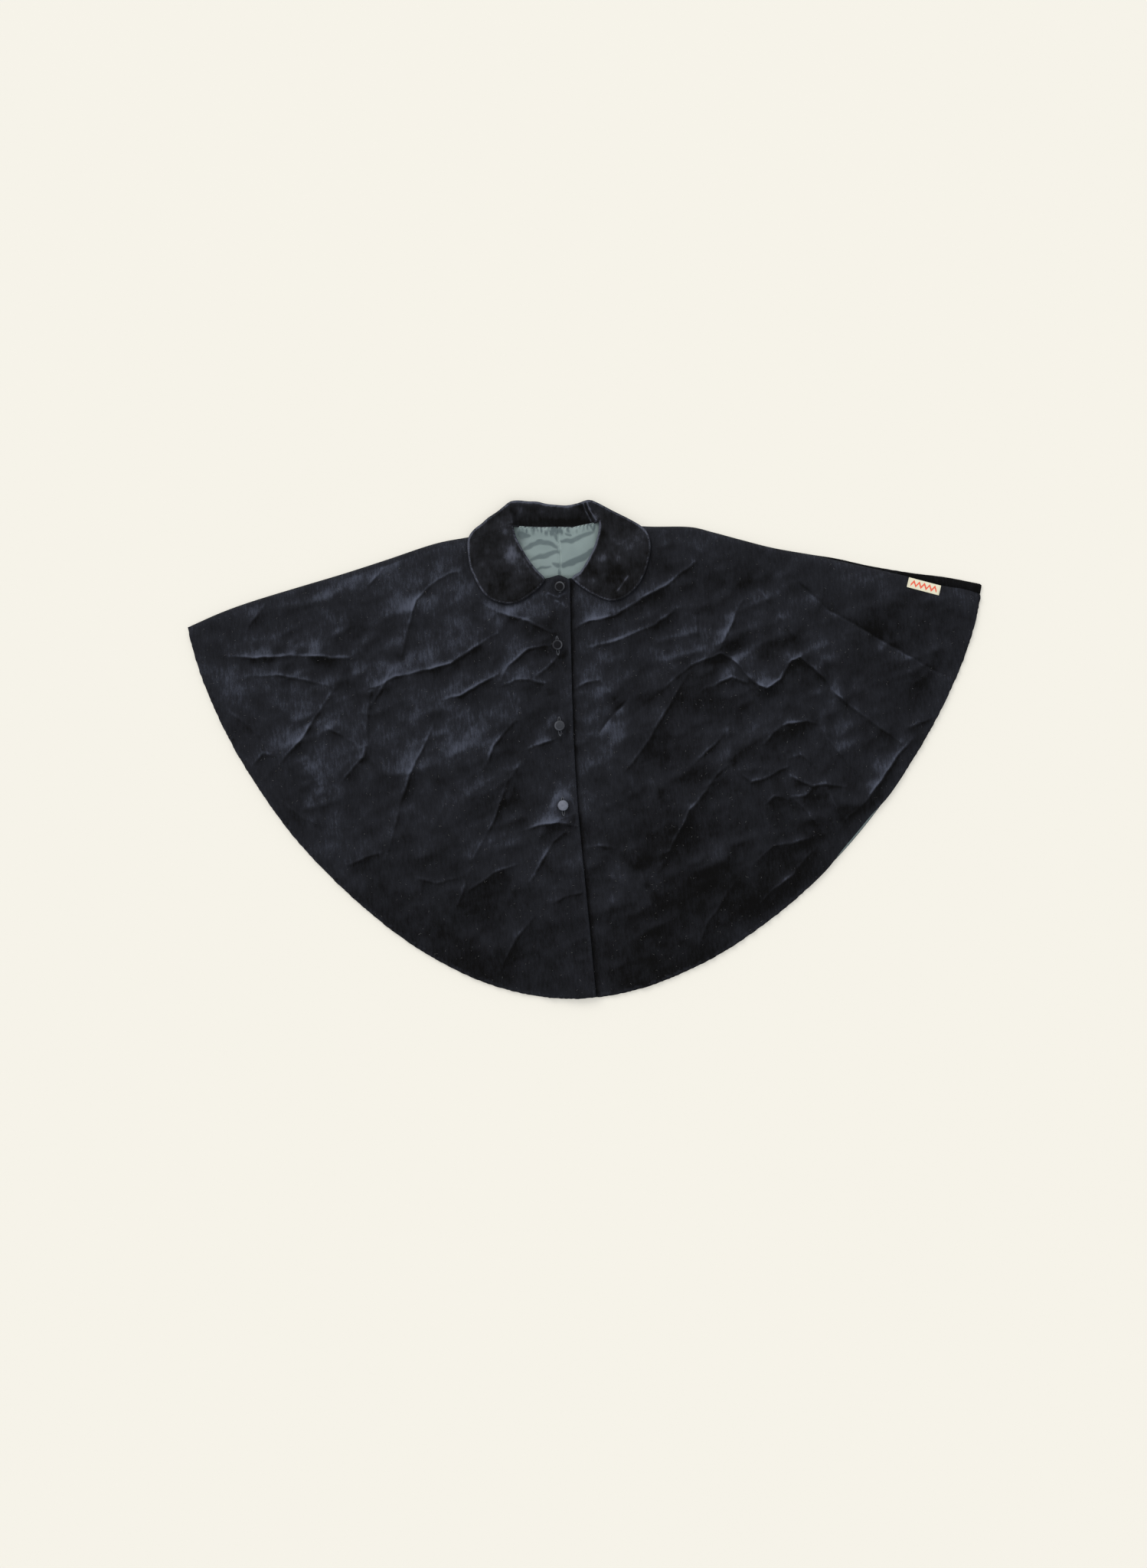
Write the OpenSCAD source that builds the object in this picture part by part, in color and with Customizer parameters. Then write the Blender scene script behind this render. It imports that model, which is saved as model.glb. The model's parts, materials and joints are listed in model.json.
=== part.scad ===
// Child's velvet cape with a flat rounded collar, laid on its back and buttoned.
// +X is to the viewer's right, +Y towards the collar, +Z up from the table.
// The origin is on the table, on the centre-front line, level with the neck.

/* [Cape] */
// Length of the cape from the origin down to the hem at the centre
hem_drop = 604; // [560:1:640]
// Reach of the cape to the left, to the lower end of the shoulder fold
left_reach = 496; // [470:1:510]
// Drop of the left shoulder fold at its outer end
left_drop = 86; // [75:1:95]
// Reach of the cape to the right, to the lower end of the shoulder fold
right_reach = 541; // [520:1:560]
// Drop of the right shoulder fold at its outer end
right_drop = 100; // [92:1:108]

/* [Neck] */
// Left end of the neck seam, where it meets the shoulder
neck_left = 62; // [58:1:66]
// Right end of the neck seam, where it meets the shoulder
neck_right = 48; // [45:1:54]
// Height of the back neck seam above the origin
neck_back = 14; // [12:1:16]
// Depth of the front neck below the origin
neck_front = 58; // [54:1:62]

/* [Cloth] */
// Thickness of the velvet
velvet_t = 1.5; // [1.2:0.1:1.6]
// Thickness of the satin lining
lining_t = 0.8; // [0.6:0.1:0.9]
// Clear gap between two layers of cloth
layer_gap = 0.3; // [0.3:0.05:0.4]
// Height of the space for the body, between the back and the fronts
body_loft = 7.4; // [6:0.1:9]
// Extra gap between the lapping front and the front under it
lap_gap = 0.6; // [0.5:0.1:0.8]

/* [Buttoning] */
// Diameter of a covered button
button_d = 14; // [12:0.5:15]
// Height of a covered button
button_h = 4.4; // [4:0.1:5]
// Width of the front under the lap, from the centre front to its edge
lap_w = 35; // [30:1:40]
// Width of the opening that each worked buttonhole fills
hole_w = 22; // [20:1:24]
// Length of the opening that each worked buttonhole fills
hole_l = 28; // [26:1:32]
// Width of the facing behind each front edge
facing_w = 72; // [60:1:80]

/* [Label] */
// Length of the woven label
label_w = 42; // [38:1:44]
// Height of the woven label
label_h = 13; // [11:0.5:14]

/* [Hidden] */
$fn = 48;

velvet = [0.05, 0.06, 0.10];
satin = [0.56, 0.62, 0.58];
canvas = [0.75, 0.73, 0.66];
ivory = [0.90, 0.88, 0.76];

// Levels of the layers, counted up from the table
z_back = 0;
z_back_lining = z_back + velvet_t + layer_gap;
z_left_lining = z_back_lining + lining_t + body_loft;
z_left = z_left_lining + lining_t + layer_gap;
z_right_lining = z_left + velvet_t + lap_gap;
z_right = z_right_lining + lining_t + layer_gap;
z_button = z_right + velvet_t + layer_gap;

// The three plies of the collar, the gap between them, and the neck tape
under_t = 0.9;
inter_t = 0.6;
upper_t = 1.3;
ply_gap = 0.2;
tape_t = 0.5;
z_collar_back = z_back_lining + lining_t + 2 * layer_gap + tape_t;

// A length past every outline, and the gap that a front leaves at its fold
beyond = 2000;
fold_gap = 0.5;

// Places of the buttons on the lap, from the top down
BUTTONS = [[-8.5, -66.5], [-16.5, -142], [-21, -247], [-23.5, -351]];

// The same points in the other order
function reversed(p) = [for (i = [len(p) - 1:-1:0]) p[i]];

// A smooth curve from a to d, steered by the handles b and c
function curve(a, b, c, d, n = 16) =
    [for (i = [0:n]) let (t = i / n, u = 1 - t)
        u * u * u * a + 3 * u * u * t * b + 3 * u * t * t * c + t * t * t * d];

// Places on the outline that two or more pieces share
left_tip = [-left_reach, -left_drop];
right_tip = [right_reach, -right_drop];
right_hem = [right_reach - 2, -right_drop - 13];
hem_centre = [-12, -hem_drop];
neck_l = [-neck_left, neck_back + 2];
neck_r = [neck_right, neck_back];
neck_low = [-14, -neck_front];

left_hem_curve = curve(left_tip, [-472, -294], [-247, -hem_drop], hem_centre, 24);
right_hem_curve = curve(hem_centre, [247, -hem_drop], [500, -297], right_hem, 24);
right_shoulder = curve([100, 6], [200, 2], [340, -62], right_tip, 12);
left_shoulder = curve(left_tip, [-400, -50], [-230, -10], [-110, 9], 12);
left_neck = curve(neck_l, [-60, -22], [-44, -56], neck_low, 10);
right_neck = curve(neck_low, [22, -54], [46, -22], neck_r, 10);
back_neck = curve(neck_r, [20, neck_back - 3], [-30, neck_back - 3], neck_l, 8);

// A sheet of cloth: one layer with its underside at z
module sheet(z, t) {
    translate([0, 0, z])
        linear_extrude(height = t)
            children();
}

// The whole flat outline of the back
module back_outline() {
    polygon(concat(left_shoulder, reversed(back_neck), right_shoulder,
        [right_hem], reversed(right_hem_curve), reversed(left_hem_curve)));
}

// Everything below the straight fold at a shoulder, kept clear of it by gap
module below_fold(from, to, gap) {
    run = to - from;
    len_run = norm(run);
    side = [run[1], -run[0]] / len_run;
    away = side[1] < 0 ? side : -side;
    a = from - run + away * gap;
    b = to + run + away * gap;
    polygon([a, b, b + away * beyond, a + away * beyond]);
}

// Front that laps over: its edge is the centre-front line
module right_front_outline(trim = 0) {
    intersection() {
        polygon(concat([neck_l], left_neck, [[3, -64], [-1, -190], [-5, -380], [1, -hem_drop + 1]],
            [hem_centre], reversed(left_hem_curve), [[-430, -50]]));
        below_fold(neck_l, left_tip, fold_gap + trim);
    }
}

// Front under the lap: its edge lies behind the other front
module left_front_outline(trim = 0) {
    intersection() {
        polygon(concat([[-lap_w, -hem_drop + 4], [-lap_w, -64], [-lap_w + 8, -neck_front - 2]],
            right_neck, [[right_reach, -60]], [right_hem], reversed(right_hem_curve)));
        below_fold(neck_r, right_hem, fold_gap + trim);
    }
}

// The strip down a front edge, between two distances from the centre front
module edge_strip(x0, x1) {
    translate([x0, -hem_drop - 20])
        square([x1 - x0, hem_drop + 100]);
}

// The lining stops short of the hem along a round edge
module lining_edge(middle, short) {
    translate([middle, lining_middle])
        circle(r = hem_drop - short, $fn = 96);
}

// A slot with straight sides and round ends
module oval(w, l) {
    union() {
        translate([0, (l - w) / 2])
            circle(d = w);
        translate([0, -(l - w) / 2])
            circle(d = w);
        translate([-w / 2, -(l - w) / 2])
            square([w, l - w]);
    }
}

module hole_places() {
    for (p = BUTTONS)
        translate(p)
            children();
}

// Height of the middle of the lining's round edge
lining_middle = -40;

// Back: one panel, a lining in two halves and a tape along the neck
module back_panel() {
    color(velvet) sheet(z_back, velvet_t) back_outline();
}

module back_lining(x0, x1) {
    color(satin) sheet(z_back_lining, lining_t)
        intersection() {
            back_outline();
            translate([x0, -hem_drop + 12])
                square([x1 - x0, hem_drop + 4]);
            lining_edge(-30, 45);
        }
}

// The halves meet at the centre-back seam; the wearer's left is +X
back_seam_x = -5.8;
module back_lining_left() back_lining(back_seam_x, right_reach);
module back_lining_right() back_lining(-left_reach, back_seam_x - layer_gap);

module back_neck_tape() {
    color(satin) sheet(z_back_lining + lining_t + layer_gap, tape_t)
        polygon(concat(back_neck, [for (p = reversed(back_neck)) p - [0, 6]]));
}

// Collar: the outlines of its two sides, cut apart along the shoulder folds
left_roll = [[-66, 24], [-24, -59]];
right_roll = [[50, 16], [8, -58]];
collar_left = concat(curve([-56, 50], [-76, 48], [-123, 26], [-124, -8], 10),
    curve([-124, -8], [-122, -60], [-98, -84], [-74, -84], 8),
    curve([-74, -84], [-56, -84], [-42, -76], left_roll[1] - [3, -1], 6));
collar_right = concat(curve([44, 44], [66, 40], [114, 24], [114, -8], 10),
    curve([114, -8], [112, -44], [84, -86], [60, -86], 8),
    curve([60, -86], [42, -86], [26, -76], right_roll[1] + [3, 1], 6));
collar_top = curve([44, 44], [20, 38], [-24, 40], [-56, 50], 8);

module right_collar_outline() {
    intersection() {
        polygon(concat([left_roll[0] - [3, 0]], [[-100, 60], [-200, 40], [-200, -200]],
            [[-60, -130], left_roll[1] - [3, -1]]));
        polygon(concat([left_roll[0] - [3, 0]], collar_left));
        below_fold(neck_l, left_tip, 2);
    }
}

module left_collar_outline() {
    intersection() {
        polygon(concat([right_roll[0] + [3, 0]], collar_right));
        polygon(concat([right_roll[0] + [3, 0]], [[100, 60], [200, 40], [200, -200]],
            [[40, -130], right_roll[1] + [3, 1]]));
        below_fold(neck_r, right_hem, 2);
    }
}

// Where the two shoulder folds meet, behind the neck
neck_mid = -10;

// The back of the collar: the band round the back neck and both shoulder ends
module collar_back_outline() {
    difference() {
        polygon(concat(collar_top, collar_left, [neck_l], reversed(back_neck),
            reversed(collar_right)));
        intersection() {
            below_fold(neck_l + [0, 1.5], left_tip + [0, 1.5], 0);
            edge_strip(-300, neck_mid);
        }
        intersection() {
            below_fold(neck_r + [0, 1.5], right_hem + [0, 1.5], 0);
            edge_strip(neck_mid, 300);
        }
    }
}

module collar_under(z) {
    color(velvet) sheet(z, under_t) children();
}

module collar_interlining(z) {
    color(canvas) sheet(z + under_t + ply_gap, inter_t) children();
}

module collar_upper(z) {
    color(velvet) sheet(z + under_t + inter_t + 2 * ply_gap, upper_t) children();
}

module collar_back_under() collar_under(z_collar_back) collar_back_outline();
module collar_back_interlining() collar_interlining(z_collar_back) collar_back_outline();
module collar_back_upper() collar_upper(z_collar_back) collar_back_outline();

// Right front, the one that laps over
module right_front_panel() {
    color(velvet) sheet(z_right, velvet_t)
        difference() {
            right_front_outline();
            hole_places() oval(hole_w, hole_l);
        }
}

module right_front_facing() {
    color(velvet) sheet(z_right_lining, lining_t)
        difference() {
            intersection() {
                right_front_outline(2);
                edge_strip(-facing_w, -1);
                translate([0, 5])
                    edge_strip(-200, 200);
            }
            hole_places() oval(hole_w, hole_l);
        }
}

module right_front_lining() {
    color(satin) sheet(z_right_lining, lining_t)
        intersection() {
            right_front_outline(3);
            lining_edge(-30, 50);
            edge_strip(-600, -facing_w - layer_gap);
        }
}

module neck_tape(z, p, shift) {
    color(satin) sheet(z, tape_t)
        polygon(concat(p, [for (q = reversed(p)) q + shift]));
}

// The tapes start clear of the shoulder folds
left_tape = curve([-60, 2], [-58, -24], [-46, -50], [-26, -57], 8);
right_tape = curve([46, 0], [43, -22], [32, -44], [14, -53], 8);
tape_drop = tape_t + layer_gap;
module right_front_neck_tape() neck_tape(z_right_lining - tape_drop, left_tape, [-7, -4]);
module left_front_neck_tape() neck_tape(z_left_lining - tape_drop, right_tape, [7, -4]);

// Worked buttonhole: a padded rim with a slit for the button's thread
slit_w = 2.6;
slit_l = 24;
rim_gap = 0.4;
module buttonhole(i) {
    color(velvet) translate([BUTTONS[i][0], BUTTONS[i][1], z_right_lining])
        linear_extrude(height = z_right + velvet_t - z_right_lining)
            difference() {
                oval(hole_w - rim_gap, hole_l - rim_gap);
                oval(slit_w, slit_l);
            }
}

// Left front, the one under the lap
module left_front_panel() {
    color(velvet) sheet(z_left, velvet_t) left_front_outline();
}

module left_front_facing() {
    color(velvet) sheet(z_left_lining, lining_t)
        intersection() {
            left_front_outline(2);
            edge_strip(-lap_w + 1, facing_w - lap_w);
        }
}

module left_front_lining() {
    color(satin) sheet(z_left_lining, lining_t)
        intersection() {
            left_front_outline(3);
            lining_edge(26, 60);
            edge_strip(facing_w - lap_w + layer_gap, 600);
        }
}

// Woven label, sewn on just below the shoulder seam
label_pos = [465.5, -98.5];
label_turn = -18;
label_t = 0.5;
label_gap = 0.1;
z_label = z_left + velvet_t + label_gap;

// Its tack stitches: length, width, height and pitch
tack_l = 2;
tack_w = 0.4;
tack_h = 0.3;
tack_pitch = 4;
module woven_label() {
    color(ivory) translate([label_pos[0], label_pos[1], z_label])
        rotate([0, 0, label_turn])
            translate([-label_w / 2, -label_h / 2, 0])
                cube([label_w, label_h, label_t]);
}

module label_stitches() {
    color(canvas) translate([label_pos[0], label_pos[1], z_label + label_t + label_gap])
        rotate([0, 0, label_turn]) {
            for (side = [-1, 1], x = [-label_w / 2 + tack_l:tack_pitch:label_w / 2 - 3])
                translate([x, side * (label_h / 2 - 1) - tack_w / 2, 0])
                    cube([tack_l, tack_w, tack_h]);
            for (side = [-1, 1], y = [-3:tack_pitch:1])
                translate([side * (label_w / 2 - 1) - tack_w / 2, y, 0])
                    cube([tack_w, tack_l, tack_h]);
        }
}

// Covered buttons: a moulded back with a thread hole, a domed shell, a cover cloth
back_t = 1.2;
shell_t = 0.8;
cover_t = 0.8;
thread_r = 1;
cover_gap = 0.2;
shell_r = button_d / 2 - cover_t - cover_gap;

module dome(r, h) {
    rotate_extrude()
        polygon(concat([[0, 0]], [for (a = [0:15:90]) [r * cos(a), h * sin(a)]]));
}

module button_back(i) {
    color(canvas) translate([BUTTONS[i][0], BUTTONS[i][1], z_button])
        difference() {
            cylinder(r = shell_r, h = back_t);
            translate([0, 0, -1])
                cylinder(r = thread_r + 0.3, h = back_t + 2);
        }
}

module button_shell(i) {
    h = button_h - back_t - cover_t - cover_gap;
    color("silver") translate([BUTTONS[i][0], BUTTONS[i][1], z_button + back_t + 0.1])
        difference() {
            dome(shell_r, h);
            dome(shell_r - shell_t, h - shell_t);
        }
}

module button_cover(i) {
    h = button_h - back_t;
    color(velvet) translate([BUTTONS[i][0], BUTTONS[i][1], z_button])
        difference() {
            union() {
                cylinder(r = button_d / 2, h = back_t);
                translate([0, 0, back_t])
                    dome(button_d / 2, h);
            }
            translate([0, 0, -1])
                cylinder(r = button_d / 2 - cover_t, h = back_t + 1);
            translate([0, 0, back_t])
                dome(button_d / 2 - cover_t, h - cover_t);
        }
}

module button_thread(i) {
    z0 = z_left + velvet_t;
    color(velvet) translate([BUTTONS[i][0], BUTTONS[i][1], z0])
        cylinder(r = thread_r, h = z_button + back_t - cover_gap - z0);
}

// Collar wings, each turning about its own roll line
z_right_collar = z_right + velvet_t + layer_gap;
z_left_collar = z_left + velvet_t + layer_gap;
module right_collar_under() collar_under(z_right_collar) right_collar_outline();
module right_collar_interlining() collar_interlining(z_right_collar) right_collar_outline();
module right_collar_upper() collar_upper(z_right_collar) right_collar_outline();
module left_collar_under() collar_under(z_left_collar) left_collar_outline();
module left_collar_interlining() collar_interlining(z_left_collar) left_collar_outline();
module left_collar_upper() collar_upper(z_left_collar) left_collar_outline();

back_panel();
back_lining_left();
back_lining_right();
back_neck_tape();
collar_back_upper();
collar_back_interlining();
collar_back_under();
right_front_panel();
right_front_lining();
right_front_facing();
right_front_neck_tape();
for (i = [0:3])
    buttonhole(i);
left_front_panel();
left_front_lining();
left_front_facing();
left_front_neck_tape();
woven_label();
label_stitches();
for (i = [0:3])
    button_thread(i);
for (i = [0:3])
    button_cover(i);
for (i = [0:3])
    button_shell(i);
for (i = [0:3])
    button_back(i);
right_collar_upper();
right_collar_interlining();
right_collar_under();
left_collar_upper();
left_collar_interlining();
left_collar_under();
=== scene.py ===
import json
import math
import bpy
import numpy as np
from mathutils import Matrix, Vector
from mathutils.geometry import delaunay_2d_cdt


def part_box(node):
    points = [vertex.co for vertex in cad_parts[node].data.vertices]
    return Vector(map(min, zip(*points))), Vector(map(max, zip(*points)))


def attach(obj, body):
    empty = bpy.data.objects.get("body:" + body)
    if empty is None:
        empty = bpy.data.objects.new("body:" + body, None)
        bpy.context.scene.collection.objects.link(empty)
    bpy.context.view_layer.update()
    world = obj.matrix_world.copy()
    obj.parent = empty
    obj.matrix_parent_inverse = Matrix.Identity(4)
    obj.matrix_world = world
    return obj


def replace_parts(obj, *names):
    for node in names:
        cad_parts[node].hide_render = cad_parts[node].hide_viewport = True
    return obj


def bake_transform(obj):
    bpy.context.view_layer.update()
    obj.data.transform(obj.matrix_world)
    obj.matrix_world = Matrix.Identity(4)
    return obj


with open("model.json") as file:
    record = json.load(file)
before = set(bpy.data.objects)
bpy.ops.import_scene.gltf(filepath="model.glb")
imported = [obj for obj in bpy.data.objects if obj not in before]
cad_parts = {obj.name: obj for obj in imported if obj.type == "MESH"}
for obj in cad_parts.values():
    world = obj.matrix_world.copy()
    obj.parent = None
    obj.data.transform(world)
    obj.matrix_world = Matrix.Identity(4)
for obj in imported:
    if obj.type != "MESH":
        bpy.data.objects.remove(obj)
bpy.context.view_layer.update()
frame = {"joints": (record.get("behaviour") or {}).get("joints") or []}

# Table, light and camera: a pale painted table that the cape lies loose on. A
# broad soft sun beyond the collar, light from all round, a camera above.
MM = 0.001
room = bpy.context.scene


def link(obj):
    """Puts a new object in the room."""
    room.collection.objects.link(obj)
    return obj


def node(tree, kind, **values):
    """Adds a node and sets the sockets named, with _ for a space."""
    made = tree.nodes.new(kind)
    for key, value in values.items():
        made.inputs[key.replace("_", " ")].default_value = value
    return made


def new_finish(name, **values):
    """A new finish with its shader's sockets set: the material, its tree and its shader."""
    made = bpy.data.materials.new(name)
    made.use_nodes = True
    shader = made.node_tree.nodes["Principled BSDF"]
    for key, value in values.items():
        shader.inputs[key.replace("_", " ")].default_value = value
    return made, made.node_tree, shader


def pattern(tree, kind, where, **values):
    """A texture laid out by the places given: how strong it is at each."""
    made = node(tree, "ShaderNodeTex" + kind, **values)
    tree.links.new(where, made.inputs["Vector"])
    return made.outputs["Fac"]


def mixed(tree, first, second, share, kind="MIX"):
    """Mixes two colours by a share. Each of the three is a value or another node's socket."""
    made = tree.nodes.new("ShaderNodeMix")
    made.data_type = "RGBA"
    made.blend_type = kind
    for number, given in ((6, first), (7, second), (0, share)):
        socket = made.inputs[number]
        if isinstance(given, bpy.types.NodeSocket):
            tree.links.new(given, socket)
        else:
            socket.default_value = (*given, 1) if number else given
    return made.outputs[2]


def plain_finish(name, colour, **values):
    """A plain paint-like finish with a faint mottle."""
    made, tree, shader = new_finish(name, **values)
    where = tree.nodes.new("ShaderNodeTexCoord").outputs["Object"]
    mottle = pattern(tree, "Noise", where, Scale=3.0)
    darker = [c * 0.99 for c in colour]
    tree.links.new(mixed(tree, colour, darker, mottle), shader.inputs["Base Color"])
    return made


table_half = 6.0
table_mesh = bpy.data.meshes.new("table_top")
table_corners = [(a * table_half, b * table_half, 0) for a, b in ((-1, -1), (1, -1), (1, 1), (-1, 1))]
table_mesh.from_pydata(table_corners, [], [(0, 1, 2, 3)])
table_top = link(bpy.data.objects.new("table_top", table_mesh))
pale_table = plain_finish("pale_table", (0.52, 0.50, 0.447), Roughness=0.9,
                          Emission_Color=(0.88, 0.845, 0.755, 1), Emission_Strength=0.42)
table_top.data.materials.append(pale_table)

sun_data = bpy.data.lights.new("key_sun", "SUN")
sun_data.energy = 1.5
sun_data.angle = math.radians(38)
sun_data.color = (1.0, 0.985, 0.96)
key_sun = link(bpy.data.objects.new("key_sun", sun_data))
sun_from = Vector((-0.55, 1.0, 0.95))
key_sun.rotation_euler = (-sun_from).to_track_quat("-Z", "Y").to_euler()

world = bpy.data.worlds.new("soft_room")
world.use_nodes = True
sky = world.node_tree.nodes["Background"]
sky.inputs["Color"].default_value = (0.93, 0.96, 1.0, 1)
sky.inputs["Strength"].default_value = 0.8
room.world = world
room.view_settings.view_transform = "Standard"

centre_of_view = Vector((-8, -324, 0)) * MM
frame_height = 2.048
camera_turn = math.radians(-3.9)
camera_data = bpy.data.cameras.new("camera")
camera_data.lens = 70.0
camera_data.sensor_width = 36.0
camera = link(bpy.data.objects.new("camera", camera_data))
distance = frame_height * camera_data.lens / camera_data.sensor_width
camera.location = centre_of_view + Vector((0, 0, distance))
camera.rotation_euler = (0, 0, camera_turn)
room.camera = camera

# The cut of the cape: outlines of its velvet panels, in millimetres, laid flat
# and sewn at the shoulders. The wearer's right front laps over, at the left.
joints = {j["name"]: j for j in frame["joints"]}


def flat_point(metres):
    """The x and y of a place in the frame, in millimetres."""
    return np.array(metres[:2], float) * 1000


def fold_line(joint):
    """A shoulder fold as a point, a unit direction outwards and a unit direction to the hem."""
    at = flat_point(joint["pos_m"])
    along = flat_point(joint["axis"])
    along = along / np.linalg.norm(along)
    along = along if along[1] < 0 else -along
    inward = np.array([along[1], -along[0]])
    inward = inward if inward[1] < 0 else -inward
    return at, along, inward


right_fold = fold_line(joints["right_front_fold"])
left_fold = fold_line(joints["left_front_fold"])
back_low, back_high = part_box("back_panel")
left_reach, right_reach = back_low.x * 1000, back_high.x * 1000
hem_low = back_low.y * 1000


def curve(a, b, c, d, steps=24):
    """A smooth curve from a to d, steered by b and c."""
    t = np.linspace(0, 1, steps + 1)[:, None]
    a, b, c, d = (np.array(p, float) for p in (a, b, c, d))
    return (1 - t) ** 3 * a + 3 * (1 - t) ** 2 * t * b + 3 * (1 - t) * t * t * c + t ** 3 * d


def through(points, steps=8):
    """A smooth line through a few points."""
    p = np.array(points, float)
    p = np.vstack([2 * p[0] - p[1], p, 2 * p[-1] - p[-2]])
    t = np.linspace(0, 1, steps, endpoint=False)[:, None]
    runs = [0.5 * (2 * p[i] + (p[i + 1] - p[i - 1]) * t
                   + (2 * p[i - 1] - 5 * p[i] + 4 * p[i + 1] - p[i + 2]) * t ** 2
                   + (3 * p[i] - p[i - 1] - 3 * p[i + 1] + p[i + 2]) * t ** 3)
            for i in range(1, len(p) - 2)]
    return np.vstack([*runs, p[-2:-1]])


def at_x(fold, x):
    """The place on a shoulder fold line at a given x."""
    at, along, _ = fold
    return at + along * (x - at[0]) / along[0]


left_tip = at_x(right_fold, left_reach)
seam_tip = np.array([right_reach - 2, -113.0])
right_tip = np.array([right_reach, -100.0])
hem_centre = np.array([-12.0, hem_low])
lap_foot = np.array([2.0, hem_low + 1])

shoulder_right = through([(-66, 20), (-112, 8), (-166, 1), (-232, -16), (-288, -30), (-350, -44),
                          (-410, -58), (-452, -70), left_tip])
left_slope = [(52, 18), (80, 9), (115, 4), (166, 0), (196, -9), (234, -22), (274, -35), (323, -47)]
shoulder_left = through([*left_slope, (354, -54), (398, -67), (450, -79), (496, -88), right_tip])
seam_left = through([*left_slope, (346, -54), (374, -62), (404, -71), (428, -78), (447, -84),
                     (489, -98), (518, -105), seam_tip])
hem_right = curve(left_tip, (-472, -293), (-247, hem_low), hem_centre, 60)
hem_left = curve(hem_centre, (247, hem_low), (500, -297), seam_tip, 90)
front_neck_right = through([(-66, 19), (-65, 12), (-63, 1), (-58, -12), (-51, -27), (-41, -43),
                            (-31, -54.5), (-24, -54.7), (-18.7, -53.9), (-8.6, -51.9), (-0.7, -55.1),
                            (5, -58.5)])
front_neck_left = through([(-30, -58), (-8, -58), (5, -57), (11, -55.5), (21, -50.5), (30, -39),
                           (39.5, -24), (45.5, -10), (49, 2), (50, 11), (51, 16)])
neck_seam = through([(-66, 19), (-64, 17.4), (-54, 16.1), (-40.1, 14.2), (-24.2, 12.7), (-6.2, 11.8),
                     (11.7, 10.6), (27.9, 12.1), (44.1, 14.6), (50, 16.5)])
back_neck = neck_seam[::-1] - (0, 1.5)
lap_edge = through([(5, -60), (1, -133), (-4, -255), (-5, -345), (-4, -392), (-2, -456), (0, -521),
                    lap_foot])
underlap_edge = through([(-34, hem_low + 3), (-36, -300), (-34, -62)])


def wobble(line, size, seed):
    """A line pushed a little to and fro, as a hand-pressed edge is."""
    random = np.random.default_rng(seed)
    s = np.linspace(0, 1, len(line))
    push = sum(random.uniform(-1, 1) * np.sin(math.tau * (k * s + random.random())) / k
               for k in range(2, 9))
    normal = np.gradient(line, axis=0)[:, ::-1] * (1, -1)
    normal /= np.linalg.norm(normal, axis=1)[:, None] + 1e-9
    return line + normal * (push * size * np.sin(math.pi * s))[:, None]


hem_right = wobble(hem_right, 0.9, 4)
hem_left = wobble(hem_left, 1.2, 9)
right_front_cut = np.vstack([shoulder_right[::-1][:-1], front_neck_right[:-1], lap_edge[:-1],
                             [lap_foot], hem_right[::-1][1:-1]])
hem_shy = 4.2 * np.exp(-(((hem_left[:, 0] - 357) + (413 + hem_left[:, 1])) / 2 / 34) ** 4)
hem_left_front = hem_left + hem_shy[:, None] * np.array([-0.62, 0.78]) * (hem_left[:, 0] > 250)[:, None]
left_front_cut = np.vstack([underlap_edge[:-1], front_neck_left[:-1], seam_left[:-1],
                            hem_left_front[::-1][:-1], [hem_centre]])
tucked_in = 0.9975
back_cut = np.vstack([shoulder_right[::-1][1:-1], back_neck[::-1][:-1], shoulder_left[:-1],
                      [right_tip], hem_left[::-1][:-1] * tucked_in, hem_right[::-1] * tucked_in])

cape_cut = np.vstack([shoulder_right[::-1][:-1], back_neck[::-1][:-1], seam_left[:-1],
                      hem_left[::-1][:-1], hem_right[::-1][:-1]])

# The collar, cut as one piece: round the neck, over the roll and on to both fronts
roll_right = through([(-27, -57), (-28.6, -52.2), (-38.8, -40.5), (-48.8, -24.7), (-55.8, -10.2),
                      (-61, 2.2), (-63.2, 13.3), (-66.3, 26.6), (-68.3, 36.7), (-66, 48.5)])
roll_left = through([(8, -57), (11.4, -52.9), (19.8, -48.5), (28.5, -37), (37.6, -22.6), (43.5, -9),
                     (47.3, 2.8), (48.6, 13.7), (46.5, 23), (43.2, 31.1), (39, 42.5)])
collar_outside = through([(8, -57), (18.5, -67.4), (29.9, -76.2), (45.3, -85.3), (59.1, -89.2),
                          (75.4, -85.3), (90.2, -74.3), (101.2, -59), (109.7, -37.5), (112.9, -19.7),
                          (110.5, -5.5), (102.6, 5), (86.3, 16.2), (67, 27.5), (46.8, 39.9),
                          (36, 43.7), (21.8, 40.2), (8.6, 38.5), (-4.3, 39.8), (-18.2, 42.3),
                          (-29.9, 46.1), (-41.9, 47.4), (-55.8, 49.5), (-65.5, 48.4), (-74.3, 42.6),
                          (-82.7, 36.7), (-95.2, 29.5), (-104.7, 22.2), (-114.2, 15.8),
                          (-121, 8), (-124, -2), (-124.1, -17.6), (-122.6, -33.7), (-116.7, -50.2),
                          (-109.7, -64.7), (-100.4, -75.4), (-88.7, -81.2), (-74.9, -84.1),
                          (-62.7, -81.9), (-50.3, -75.8), (-37.7, -67.6), (-27, -57)])
neck_run = neck_seam[(neck_seam[:, 0] > -63.5) & (neck_seam[:, 0] < 48)] - (0, 0.9)
collar_cut = np.vstack([collar_outside[:-1], roll_right[:roll_right.shape[0] * 6 // 9],
                        neck_run, roll_left[roll_left.shape[0] * 7 // 10::-1][:-1]])


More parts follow.
